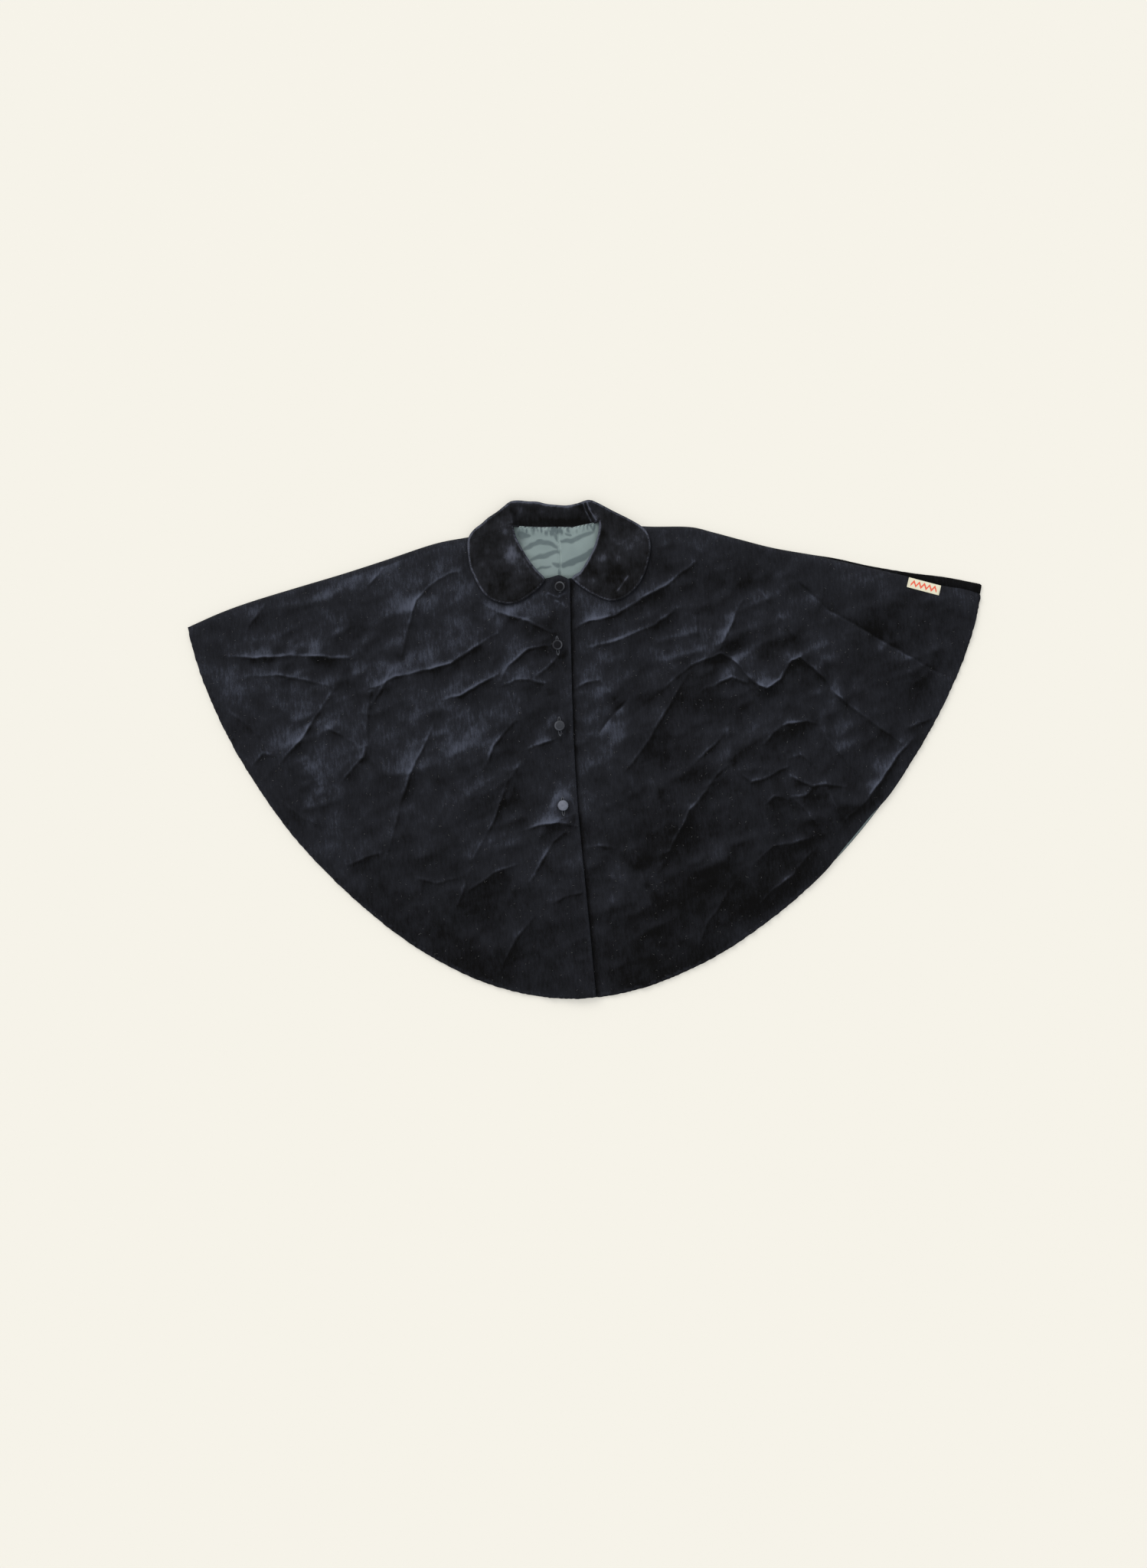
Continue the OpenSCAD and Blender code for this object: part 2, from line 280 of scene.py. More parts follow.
# How the cloth lies: one height map that all the velvet and satin share, so that
# no layer goes through the next. Creases are pressed in along listed lines.
def line_distance(x, y, line, closed=False):
    """Signed distance from each place to a line (left side plus), and how far along it lies."""
    best = np.full(x.shape, 1e9)
    side = np.ones(x.shape)
    share = np.zeros(x.shape)
    ring = np.vstack([line, line[:1]]) if closed else line
    steps = np.linalg.norm(np.diff(ring, axis=0), axis=1)
    run, total = 0.0, steps.sum()
    for a, b, step in zip(ring[:-1], ring[1:], steps):
        if step < 1e-9:
            continue
        u = (b - a) / step
        px, py = x - a[0], y - a[1]
        t = np.clip(px * u[0] + py * u[1], 0, step)
        d = np.hypot(px - t * u[0], py - t * u[1])
        nearer = d < best
        best = np.where(nearer, d, best)
        side = np.where(nearer, np.where(u[0] * py - u[1] * px >= 0, 1.0, -1.0), side)
        share = np.where(nearer, (run + t) / total, share)
        run += step
    return best * side, share


def beside(x, y, line, closed=False):
    """How far to a line's left each place lies, or minus how far to its right."""
    return line_distance(x, y, line, closed)[0]


def gap(x, y, line, closed=False):
    """How far each place lies from a line."""
    return np.abs(beside(x, y, line, closed))


def ridge(distance, width):
    """One on a line and falling to nought away from it."""
    return np.exp(-(distance / width) ** 2)


def spot(x, y, cx, cy, rx, ry):
    """One in the middle of an oval and falling to nought outside it."""
    return np.exp(-((x - cx) / rx) ** 2 - ((y - cy) / ry) ** 2)


def inside(x, y, ring):
    """Which places lie inside a closed outline."""
    hit = np.zeros(x.shape, bool)
    for a, b in zip(ring, np.roll(ring, -1, axis=0)):
        crosses = (a[1] > y) != (b[1] > y)
        with np.errstate(divide="ignore", invalid="ignore"):
            edge = (b[0] - a[0]) * (y - a[1]) / (b[1] - a[1]) + a[0]
        hit ^= crosses & (x < edge)
    return hit


def ripple(x, y, size, seed):
    """Smooth seeded unevenness, from -1 to 1, with lumps of the given size."""
    grid = np.random.default_rng(seed).uniform(-1, 1, (256, 256))
    u, v = x / size + 128.37, y / size + 128.71
    i, j = np.floor(u).astype(int) % 255, np.floor(v).astype(int) % 255
    fu, fv = u - np.floor(u), v - np.floor(v)
    fu, fv = fu ** 3 * (fu * (6 * fu - 15) + 10), fv ** 3 * (fv * (6 * fv - 15) + 10)
    low = grid[i, j] * (1 - fu) + grid[i + 1, j] * fu
    high = grid[i, j + 1] * (1 - fu) + grid[i + 1, j + 1] * fu
    return low * (1 - fv) + high * fv


def smooth(low, high, x):
    """Nought below low, one above high, and a soft rise between."""
    t = np.clip((x - low) / (high - low), 0, 1)
    return t * t * (3 - 2 * t)


# Each crease: its line, its height, and how far it spreads on its left and its right
CREASES = [
    ([(-444, -128), (-414, -132), (-364, -132), (-306, -140), (-280, -142)], 5.0, 26, 9),
    ([(-422, -156), (-382, -156), (-348, -166), (-308, -178)], 2.8, 16, 14),
    ([(-258, -180), (-228, -168), (-184, -164), (-156, -156), (-130, -142), (-94, -122)], 5.5, 30, 10),
    ([(-390, -274), (-358, -242), (-336, -212), (-308, -178)], 3.4, 20, 9),
    ([(-424, -272), (-408, -258), (-388, -264)], 2.2, 9, 8),
    ([(-332, -222), (-302, -242), (-282, -260)], 2.0, 8, 10),
    ([(-274, -258), (-270, -228), (-266, -192), (-262, -180)], 2.6, 16, 8),
    ([(-312, -304), (-294, -286), (-280, -272), (-274, -258)], 3.2, 10, 9),
    ([(-258, -404), (-238, -344), (-220, -296), (-192, -252), (-176, -218)], 3.0, 13, 13),
    ([(-124, -300), (-108, -268), (-92, -250), (-78, -236)], 3.4, 10, 11),
    ([(-144, -412), (-114, -364), (-92, -314), (-74, -290)], 2.8, 12, 12),
    ([(-70, -276), (-54, -270), (-26, -264)], 2.6, 8, 10),
    ([(-78, -380), (-56, -374), (-30, -372), (-10, -378)], 4.2, 9, 9),
    ([(-72, -448), (-54, -418), (-38, -396), (-24, -386)], 3.4, 7, 9),
    ([(-154, -454), (-120, -432), (-90, -424)], 2.6, 14, 14),
    ([(-44, -478), (-22, -468), (-2, -464)], 2.2, 10, 12),
    ([(-308, -408), (-284, -400), (-264, -396)], 3.4, 13, 7),
    ([(-172, -204), (-148, -200), (-122, -186), (-96, -176)], 3.8, 14, 9),
    ([(-90, -190), (-76, -184), (-58, -184), (-36, -192), (-28, -210)], 3.8, 12, 9),
    ([(-92, -184), (-82, -164), (-56, -146), (-24, -142)], 3.0, 9, 9),
    ([(-52, -184), (-34, -172), (-18, -158)], 2.4, 6, 7),
    ([(-116, -78), (-92, -94), (-52, -108), (-22, -126)], 4.4, 18, 16),
    ([(-226, -154), (-208, -106), (-196, -72), (-180, -56), (-154, -42), (-126, -34)], 3.2, 15, 15),
    ([(-420, -96), (-400, -72), (-384, -54)], 2.0, 10, 12),
    ([(-356, -276), (-342, -300), (-328, -318)], 2.2, 9, 9),
    ([(-458, -194), (-430, -216), (-408, -238)], 1.8, 12, 10),
    ([(-388, -320), (-360, -346), (-340, -358)], 1.8, 12, 12),
    ([(-118, -558), (-96, -520), (-68, -492)], 2.2, 11, 11),
    ([(-260, -52), (-238, -28), (-206, -14)], 2.4, 12, 12),
    ([(8, -122), (28, -114), (62, -108), (100, -88), (130, -74), (168, -46)], 5.0, 12, 11),
    ([(22, -148), (56, -142), (86, -132), (114, -124), (144, -104)], 3.2, 10, 12),
    ([(122, -204), (154, -180), (178, -172), (194, -168), (208, -174), (220, -188), (236, -208),
      (252, -218), (270, -204), (286, -184), (296, -180), (312, -196), (332, -216), (350, -240),
      (388, -272), (420, -300)], 6.0, 28, 11),
    ([(166, -216), (186, -206), (206, -198), (226, -208), (244, -230)], 2.8, 8, 15),
    ([(192, -164), (212, -130), (228, -100)], 3.0, 11, 14),
    ([(246, -82), (270, -118), (282, -140), (294, -160)], 3.0, 12, 12),
    ([(282, -64), (338, -118), (366, -138), (404, -162), (444, -190), (492, -220)], -4.2, 12, 26),
    ([(432, -196), (444, -216), (450, -236)], 2.0, 9, 9),
    ([(58, -314), (98, -268), (124, -230), (150, -190)], 3.2, 15, 11),
    ([(150, -308), (166, -294), (190, -276)], 3.6, 13, 8),
    ([(98, -442), (118, -408), (140, -370), (168, -338), (194, -314)], 4.6, 17, 12),
    ([(202, -312), (214, -328), (224, -338), (242, -334), (270, -322)], 3.8, 13, 10),
    ([(242, -288), (258, -274), (276, -264), (300, -262), (318, -270)], 3.6, 10, 12),
    ([(266, -330), (288, -340), (304, -348), (322, -346), (346, -352)], 3.6, 9, 9),
    ([(274, -360), (292, -358), (304, -350)], 2.8, 7, 8),
    ([(276, -360), (294, -380), (308, -402), (328, -434)], 3.4, 11, 10),
    ([(344, -394), (366, -376), (392, -348), (414, -318), (436, -296)], 5.4, 12, 15),
    ([(2, -200), (16, -194), (34, -192), (46, -206), (56, -220)], 3.2, 8, 9),
    ([(28, -262), (48, -238), (70, -220)], -2.6, 9, 12),
    ([(224, -438), (246, -424), (272, -420), (292, -416)], 3.2, 14, 9),
    ([(216, -506), (244, -478), (270, -460), (296, -434)], 3.2, 10, 13),
    ([(-2, -408), (18, -406), (42, -412)], 2.6, 8, 14),
    ([(44, -374), (62, -410), (74, -446), (84, -486), (88, -512)], 2.6, 10, 10),
    ([(318, -268), (326, -288), (344, -314), (362, -338)], 3.0, 12, 10),
    ([(132, -570), (156, -512), (194, -464)], 2.2, 13, 13),
    ([(432, -280), (452, -274), (468, -268)], 2.8, 9, 9),
    ([(160, -162), (166, -142), (166, -112)], 2.2, 9, 9),
    ([(274, -310), (290, -306), (306, -322)], 2.8, 8, 9),
    ([(240, -368), (252, -358), (270, -364)], 2.6, 8, 9),
    ([(196, -262), (200, -286), (201, -312)], 3.0, 9, 9),
    ([(322, -352), (330, -374), (342, -394)], 3.4, 8, 8),
    ([(-233, -158), (-252, -186), (-270, -212)], 2.6, 12, 10),
    ([(-226, -430), (-196, -440), (-164, -436)], 2.0, 14, 12),
    ([(-146, -416), (-158, -448), (-172, -474)], 2.2, 12, 12),
    ([(84, -300), (96, -322), (104, -352)], 2.2, 10, 12),
]


def pressed_off(x, y):
    """Places moved a little, so that a listed crease runs unevenly."""
    wx = x + 1.3 * ripple(x, y, 30, 1) + 0.8 * ripple(x, y, 11, 2)
    wy = y + 1.3 * ripple(x, y, 30, 3) + 0.8 * ripple(x, y, 11, 4)
    return wx, wy


def near_box(x, y, line, reach):
    """Which places are within reach of a line's box."""
    low, high = line.min(0) - reach, line.max(0) + reach
    return (x > low[0]) & (x < high[0]) & (y > low[1]) & (y < high[1])


CREASE_LINES = [(np.array(line, float), size, left, right) for line, size, left, right in CREASES]


def crease_height(x, y):
    """The sum of the pressed creases."""
    wx, wy = pressed_off(x, y)
    height = np.zeros(x.shape)
    for line, size, left, right in CREASE_LINES:
        near = near_box(wx, wy, line, 4.5 * max(left, right))
        d, share = line_distance(wx[near], wy[near], line)
        reach = np.where(d > 0, left, right)
        soft = np.sqrt(d * d + 0.8) - 0.89
        shape = np.exp(-soft / reach) * (1 + 0.25 * ridge(d, 2.2))
        fade = 0.72 + 0.4 * ripple(wx[near], wy[near], 17, 5)
        height[near] += 0.9 * size * shape * fade * np.sin(math.pi * np.clip(share, 0.04, 0.96)) ** 0.6
    return height


def crest_distance(x, y):
    """How far a place is from the nearest crease's crest, up to ten millimetres."""
    wx, wy = pressed_off(x, y)
    best = np.full(x.shape, 10.0)
    for line, *_ in CREASE_LINES:
        near = near_box(wx, wy, line, 10)
        best[near] = np.minimum(best[near], gap(wx[near], wy[near], line))
    return best


BUTTONS = [flat_point((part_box(f"button_back_{n}")[0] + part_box(f"button_back_{n}")[1]) / 2)
           for n in range(1, 5)]
button_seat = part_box("button_back_1")[0].z * 1000 - 0.5
lap_step = 3.5
velvet_thick = 1.2
lining_thick = 0.5
back_lining_thick = 0.4
hem_height = 5.0
middle_rise = 9.6
shoulder_foot = 2.85
lowest_front, highest_front = 4.9, 24
lap_height = 9.5


def folded(x, y):
    """Faint creases that meet at angles, as in cloth that has been crumpled and smoothed out."""
    wx, wy = 0.8 * x + 0.35 * y + 5 * ripple(x, y, 70, 15), 0.9 * y - 0.3 * x + 5 * ripple(x, y, 70, 16)
    large = 0.5 - np.sqrt(ripple(wx, wy, 62, 17) ** 2 + 0.0004)
    small = 0.5 - np.sqrt(ripple(wx, wy, 27, 18) ** 2 + 0.0009)
    tiny = 0.5 - np.sqrt(ripple(wx, wy, 12, 19) ** 2 + 0.002)
    return 2.7 * large + 1.3 * small + 0.3 * tiny


def collar_zone(x, y):
    """One under the collar, which presses the cloth flat, and less with distance from it."""
    out = gap(x, y, collar_cut[::4], True)
    return np.where(inside(x, y, collar_cut), 1.0, ridge(out, 9))


def from_folds(x, y):
    """How far a place is from the nearer shoulder, plus towards the hem."""
    right = beside(x, y, shoulder_right)
    left = beside(x, y, seam_left)
    nearer = np.where(np.abs(right) < np.abs(left), right, -left)
    return np.where(inside(x, y, cape_cut), np.abs(nearer), -np.abs(nearer))


def smooth_level(x, y, fold):
    """The front's height without creases: low at the hem and at the shoulders, high between."""
    from_hem = gap(x, y, np.vstack([hem_right, hem_left]))
    from_fold = np.maximum(fold, 0) + 2
    from_shoulder = 1 - 0.55 * np.exp(-from_fold / 20) - 0.45 * np.exp(-from_fold / 85)
    rise = (1 - np.exp(-from_hem / 60)) * from_shoulder
    return hem_height + middle_rise * rise + 0.12 * np.minimum(fold, 0), from_hem


def front_top(x, y):
    """Height of the top of the lapping front over the table."""
    fold = from_folds(x, y)
    level, from_hem = smooth_level(x, y, fold)
    bare = 1 - collar_zone(x, y)
    pressed = crease_height(x, y) * (0.25 + 0.75 * smooth(0, 26, from_hem)) * smooth(-2, 20, fold)
    uneven = 1.6 * ripple(x, y, 120, 11) + 1.0 * ripple(x, y, 55, 12) + 0.45 * ripple(x, y, 24, 13)
    uneven += 0.12 * ripple(x, y, 10, 14) + folded(x, y)
    uneven *= smooth(0, 40, from_hem) * smooth(0, 30, fold)
    height = level + (pressed + uneven) * bare
    near_lap = ridge(x + 14, 46) * smooth(-30, -60, y)
    height = height + (np.maximum(height, lap_height) - height) * near_lap
    for bx, by in BUTTONS:
        near = np.exp(-(((x - bx) / 13) ** 2 + ((y - by) / 17) ** 2) ** 2)
        height = height + (button_seat - height) * near
    height = np.minimum(np.maximum(height, lowest_front), highest_front)
    roll = np.sqrt(1 - (1 - np.clip(fold / 4, 0, 1)) ** 2)
    return shoulder_foot + (height - shoulder_foot) * roll


def under_lap_top(x, y):
    """Height of the top of the front under the lap: a step lower near the lap's edge."""
    step = lap_step * (1 - smooth(4, 70, x))
    return np.maximum(front_top(x, y) - step, shoulder_foot)


def back_bottom(x, y):
    """Height of the underside of the back over the table."""
    lift = 0.35 + 0.3 * ripple(x, y, 90, 21) + 0.15 * ripple(x, y, 30, 22)
    return np.maximum(lift, 0.05)


def back_top(x, y):
    """Top of the back: flat, but for the strip that rolls over the left shoulder to its seam."""
    rolled = ~inside(x, y, cape_cut)
    from_seam = gap(x, y, seam_left)
    from_silhouette = gap(x, y, shoulder_left)
    bulge = 2.5 * np.minimum(from_seam / 2.2, 1) ** 0.6 * np.minimum(from_silhouette / 4, 1) ** 0.5
    return back_bottom(x, y) + velvet_thick + np.where(rolled & (x > 300), bulge, 0)


# Making a sheet of cloth: the cut is filled with an even net of small
# triangles, laid on the height map and given its thickness and a round edge.
def evenly(line, spacing, closed=True):
    """Points at even steps along an outline."""
    ring = np.vstack([line, line[:1]]) if closed else np.array(line, float)
    lengths = np.linalg.norm(np.diff(ring, axis=0), axis=1)
    keep = np.concatenate([[True], lengths > 1e-6])
    ring = ring[keep]
    far = np.concatenate([[0], np.cumsum(np.linalg.norm(np.diff(ring, axis=0), axis=1))])
    count = max(3, int(round(far[-1] / spacing)))
    s = np.linspace(0, far[-1], count + 1)
    out = np.stack([np.interp(s, far, ring[:, 0]), np.interp(s, far, ring[:, 1])], 1)
    return out[:-1] if closed else out


def grid_over(low, high, step):
    """Places in even rows, each row half a step along from the last."""
    gx, gy = np.meshgrid(np.arange(low[0], high[0], step), np.arange(low[1], high[1], step * 0.866))
    gx[::2] += step / 2
    return gx.ravel(), gy.ravel()


def near_crests(x, y, low, high):
    """Which places lie within a few millimetres of a crest, looked up on a coarse chart."""
    cell = 2.5
    cx, cy = np.meshgrid(np.arange(low[0], high[0] + cell, cell), np.arange(low[1], high[1] + cell, cell))
    chart = crest_distance(cx.ravel(), cy.ravel()).reshape(cx.shape) < 3.6
    i = np.clip(((y - low[1]) / cell + 0.5).astype(int), 0, chart.shape[0] - 1)
    j = np.clip(((x - low[0]) / cell + 0.5).astype(int), 0, chart.shape[1] - 1)
    return chart[i, j]


def only_used(places, triangles):
    """Which places some triangles use, and the same triangles numbered by those alone."""
    used = np.unique(triangles)
    renumber = np.full(len(places), -1)
    renumber[used] = np.arange(len(used))
    return used, renumber[triangles]


def joined_up(points, edges, ring, holes=()):
    """Joins points into triangles, all facing up, that keep to the edges given."""
    found = delaunay_2d_cdt([Vector((float(a), float(b))) for a, b in points], edges, [], 0, 1e-6)
    places = np.array([tuple(v) for v in found[0]])
    triangles = np.array([tuple(f) for f in found[2] if len(f) == 3])
    middle = places[triangles].mean(1)
    keep = inside(*middle.T, ring)
    for hole in holes:
        keep &= ~inside(*middle.T, np.array(hole))
    triangles = triangles[keep]
    a, b, c = (places[triangles[:, k]] for k in range(3))
    turn = (b - a)[:, 0] * (c - a)[:, 1] - (b - a)[:, 1] * (c - a)[:, 0]
    triangles[turn < 0] = triangles[turn < 0][:, ::-1]
    used, triangles = only_used(places, triangles)
    return places[used], triangles


HOLE_CLEARANCE = 0.9


def net(cut, spacing, holes=(), fine=(), creased=False):
    """Places and triangles that fill an outline, clear of its holes. fine lists (x, y, radius)."""
    rings = [evenly(cut, spacing), *[np.array(h, float) for h in holes]]
    low, high = cut.min(0) - spacing, cut.max(0) + spacing
    gx, gy = grid_over(low, high, spacing)
    if creased:
        tx, ty = grid_over(low, high, spacing / 2.2)
        crisp, dull = near_crests(tx, ty, low, high), ~near_crests(gx, gy, low, high)
        gx, gy = np.concatenate([gx[dull], tx[crisp]]), np.concatenate([gy[dull], ty[crisp]])
    for fx, fy, radius in fine:
        step = spacing / 3
        tx, ty = grid_over((fx - radius, fy - radius), (fx + radius, fy + radius), step)
        near = np.hypot(tx - fx, ty - fy) < radius
        far = np.hypot(gx - fx, gy - fy) > radius + step
        gx, gy = np.concatenate([gx[far], tx[near]]), np.concatenate([gy[far], ty[near]])
    keep = inside(gx, gy, cut)
    for ring, clearance in zip(rings, [0.45 * spacing] + [HOLE_CLEARANCE] * len(holes)):
        keep &= gap(gx, gy, ring, True) > clearance
    for hole in holes:
        keep &= ~inside(gx, gy, np.array(hole))
    points = [p for ring in rings for p in ring]
    edges, start = [], 0
    for ring in rings:
        edges += [(start + i, start + (i + 1) % len(ring)) for i in range(len(ring))]
        start += len(ring)
    points += list(zip(gx[keep], gy[keep]))
    return joined_up(points, edges, rings[0], holes)


def normals_of(points, triangles):
    """Smooth normals at the points of a net."""
    a, b, c = (points[triangles[:, k]] for k in range(3))
    face = np.cross(b - a, c - a)
    out = np.zeros_like(points)
    for k in range(3):
        np.add.at(out, triangles[:, k], face)
    return out / (np.linalg.norm(out, axis=1)[:, None] + 1e-12)


def rim_of(triangles):
    """The edges that only one triangle has, in that triangle's own direction."""
    edges = np.vstack([triangles[:, [0, 1]], triangles[:, [1, 2]], triangles[:, [2, 0]]])
    size = edges.max() + 1
    code = edges[:, 0] * size + edges[:, 1]
    back = edges[:, 1] * size + edges[:, 0]
    return edges[~np.isin(code, back)]


def store(mesh, name, values):
    """A number at each point, for a finish to read."""
    mesh.attributes.new(name, "FLOAT", "POINT").data.foreach_set("value", values.astype(np.float32))


def closed_sheet(name, places, triangles, top, thick, bottom=None):
    """A closed sheet between a top surface and one a thickness below it, with a round edge."""
    upper = np.column_stack([places, top])
    if bottom is None:
        lower = upper - normals_of(upper, triangles) * thick
    else:
        lower = np.column_stack([places, bottom])
    rim = rim_of(triangles)
    on_rim = np.unique(rim)
    outward = np.zeros((len(places), 2))
    along = places[rim[:, 1]] - places[rim[:, 0]]
    along /= np.linalg.norm(along, axis=1)[:, None] + 1e-9
    for k in (0, 1):
        np.add.at(outward, rim[:, k], np.stack([along[:, 1], -along[:, 0]], 1))
    outward /= np.linalg.norm(outward, axis=1)[:, None] + 1e-9
    middle = (upper[on_rim] + lower[on_rim]) / 2
    swell = np.abs(upper[on_rim, 2] - lower[on_rim, 2])
    middle[:, :2] += outward[on_rim] * np.minimum(swell * 0.45, 1.0)[:, None]
    count = len(places)
    middle_of = np.zeros(count, int)
    middle_of[on_rim] = 2 * count + np.arange(len(on_rim))
    a, b = rim[:, 0], rim[:, 1]
    walls = [np.stack([b, a, middle_of[a], middle_of[b]], 1),
             np.stack([middle_of[b], middle_of[a], a + count, b + count], 1)]
    corners = np.vstack([upper, lower, middle]) * MM
    mesh = bpy.data.meshes.new(name)
    faces = [*triangles.tolist(), *(triangles[:, ::-1] + count).tolist(),
             *walls[0].tolist(), *walls[1].tolist()]
    mesh.from_pydata(corners.tolist(), [], faces)
    mesh.polygons.foreach_set("use_smooth", np.ones(len(mesh.polygons), bool))
    flat = np.vstack([places, places, places[on_rim]]) * MM
    loops = np.zeros(len(mesh.loops), int)
    mesh.loops.foreach_get("vertex_index", loops)
    mesh.uv_layers.new(name="cloth").data.foreach_set("uv", flat[loops].astype(np.float32).ravel())
    return mesh, np.concatenate([np.arange(count), np.arange(count), on_rim])


def sharpness(places, triangles, height):
    """How sharply the surface bends at each point: plus on a ridge, minus in a valley."""
    total = np.zeros(len(places))
    number = np.zeros(len(places))
    for i, j in ((0, 1), (1, 2), (2, 0)):
        for a, b in ((triangles[:, i], triangles[:, j]), (triangles[:, j], triangles[:, i])):
            np.add.at(total, a, height[b])
            np.add.at(number, a, 1)
    bend = height - total / np.maximum(number, 1)
    for _ in range(2):
        around = np.zeros(len(places))
        for i, j in ((0, 1), (1, 2), (2, 0)):
            np.add.at(around, triangles[:, i], bend[triangles[:, j]])
            np.add.at(around, triangles[:, j], bend[triangles[:, i]])
        bend = 0.5 * bend + 0.5 * around / np.maximum(number, 1)
    return bend


pile_at_rest = 0.31
# How strongly the slope towards the sun is painted in as light.
sun_slope_paint = 1.15


def tone_and_painted_light_of(places, triangles, height, edge, steer=0.0, level=0.0):
    """How light each place is painted: painted light where the cloth slopes towards the sun, painted
    highlights on crease crests, painted shade in creases, a painted highlight along the edge, and the nap's
    own patches.
    """
    slope_normals = normals_of(np.column_stack([places, height - 0.6 * level]), triangles)
    # Painted light: slopes that face the sun are painted lighter, slopes that face away darker.
    toward = slope_normals[:, 0] * -0.42 + slope_normals[:, 1] * 0.9
    x, y = places.T
    patch = 0.08 * ripple(x, y, 60, 51) + 0.06 * ripple(x, y, 22, 52) + 0.06 * ripple(x, y * 0.6, 9, 53)
    bend = sharpness(places, triangles, height)
    # Painted highlight on crease crests and painted shade in crease valleys.
    painted_crease_light = 0.26 * smooth(0.05, 0.34, bend) - 0.16 * smooth(0.05, 0.34, -bend)
    painted_crease_light = painted_crease_light * smooth(4.5, 10, edge)
    inner = smooth(0.0, 6.0, edge)
    # Painted highlight along the cloth's edge.
    turned = 0.12 * ridge(edge, 3.2)
    return np.clip(pile_at_rest + steer + patch + turned + sun_slope_paint * toward * inner + painted_crease_light, 0, 1)


def dressed(name, mesh, finish):
    """A new object made of a mesh, with its finish."""
    mesh.materials.append(finish)
    return link(bpy.data.objects.new(name, mesh))


def flat_places(obj):
    """The x and y of an object's points, in millimetres."""
    spots = np.zeros(len(obj.data.vertices) * 3)
    obj.data.vertices.foreach_get("co", spots)
    return spots.reshape(-1, 3)[:, :2] / MM


def cloth(name, cut, spacing, top_of, thick, finish, holes=(), fine=(), creased=False, steer=None,
          level_of=None):
    """A piece of cloth: cut out, laid on the height map, and given its finish."""
    places, triangles = net(cut, spacing, holes, fine, creased)
    x, y = places.T
    height = top_of(x, y)
    from_edge = gap(x, y, evenly(cut, spacing), True)
    mesh, source = closed_sheet(name, places, triangles, height, thick)
    push = 0 if steer is None else steer(x, y)
    level = 0 if level_of is None else level_of(x, y)
    pile = tone_and_painted_light_of(places, triangles, height, from_edge, push, level)
    # Near the edge the painted light is held down, so that the rim is not painted bright.
    highest = 0.42 + 0.58 * smooth(5, 12, from_edge)
    pile = np.minimum(pile, highest)
    store(mesh, "pile", pile[source])
    return dressed(name, mesh, finish)


LEAST_SHARE = 0.31
LEAST_SPAN = 0.012


def declare(cut):
    """Works out how large a sheet was cut, in metres and no smaller than the least span, and does nothing
    more with it.
    """
    span = (cut.max(0) - cut.min(0)) * MM
    span = np.maximum(span, LEAST_SPAN)


# Velvet finish: a dense short pile, near black in navy, with its own patches and
# streaks. The stored values paint it blue-grey as painted light and highlights, and dark as painted shade.
def sum_of(tree, a, b, kind="ADD", factor=None):
    """Joins two numbers with a maths node."""
    made = tree.nodes.new("ShaderNodeMath")
    made.operation = kind
    for socket, value in zip(made.inputs, (a, b, factor)):
        if value is None:
            continue
        if isinstance(value, (int, float)):
            socket.default_value = value
        else:
            tree.links.new(value, socket)
    return made.outputs[0]


def ranged(tree, value, **limits):
    """A number moved from one range to another."""
    made = node(tree, "ShaderNodeMapRange", **limits)
    tree.links.new(value, made.inputs["Value"])
    return made.outputs[0]


def stored(tree, name):
    """A number that was stored at each point."""
    made = tree.nodes.new("ShaderNodeAttribute")
    made.attribute_name = name
    return made.outputs["Fac"]


def on_cloth(tree):
    """Places on the flat cloth, as it was cut."""
    made = tree.nodes.new("ShaderNodeUVMap")
    made.uv_map = "cloth"
    return made.outputs["UV"]


def roughen(tree, shader, height, strength, depth):
    """Raises the surface a little by a pattern."""
    bump = node(tree, "ShaderNodeBump", Strength=strength, Distance=depth)
    tree.links.new(height, bump.inputs["Height"])
    tree.links.new(bump.outputs["Normal"], shader.inputs["Normal"])


def velvet_finish(name, deep, mid, bright):
    """deep, mid and bright are the colours from the darkest painted shade to the brightest painted highlight.
    """
    made, tree, shader = new_finish(name, Roughness=0.95, Specular_IOR_Level=0.04, Sheen_Weight=0.06,
                                    Sheen_Roughness=0.4, Sheen_Tint=(0.6, 0.64, 0.75, 1))
    where = on_cloth(tree)
    stretch = node(tree, "ShaderNodeMapping", Scale=(1.0, 0.22, 1.0))
    tree.links.new(where, stretch.inputs["Vector"])
    patches = pattern(tree, "Noise", where, Scale=16.0, Detail=6.0, Roughness=0.66, Distortion=0.6)
    streaks = pattern(tree, "Noise", stretch.outputs["Vector"], Scale=330.0, Detail=5.0, Roughness=0.8)
    specks = pattern(tree, "Noise", where, Scale=1300.0, Detail=2.0, Roughness=0.7)
    patch = ranged(tree, patches, From_Min=0.3, From_Max=0.7, To_Min=-0.12, To_Max=0.12)
    streak = ranged(tree, streaks, From_Min=0.3, From_Max=0.7, To_Min=-0.16, To_Max=0.16)
    grain = ranged(tree, specks, From_Min=0.3, From_Max=0.72, To_Min=-0.10, To_Max=0.16)
    nap = sum_of(tree, stored(tree, "pile"), patch)
    nap = sum_of(tree, nap, sum_of(tree, streak, grain))
    ramp = tree.nodes.new("ShaderNodeValToRGB")
    ramp.color_ramp.elements[0].color = (*deep, 1)
    ramp.color_ramp.elements[1].color = (*bright, 1)
    ramp.color_ramp.elements.new(0.5).color = (*mid, 1)
    tree.links.new(nap, ramp.inputs["Fac"])
    tree.links.new(ramp.outputs["Color"], shader.inputs["Base Color"])
    roughen(tree, shader, sum_of(tree, specks, streaks), 0.35, 0.0004)
    return made


body_velvet = velvet_finish("body_velvet", (0.0040, 0.0038, 0.0037), (0.0168, 0.0175, 0.0214),
                            (0.076, 0.084, 0.112))
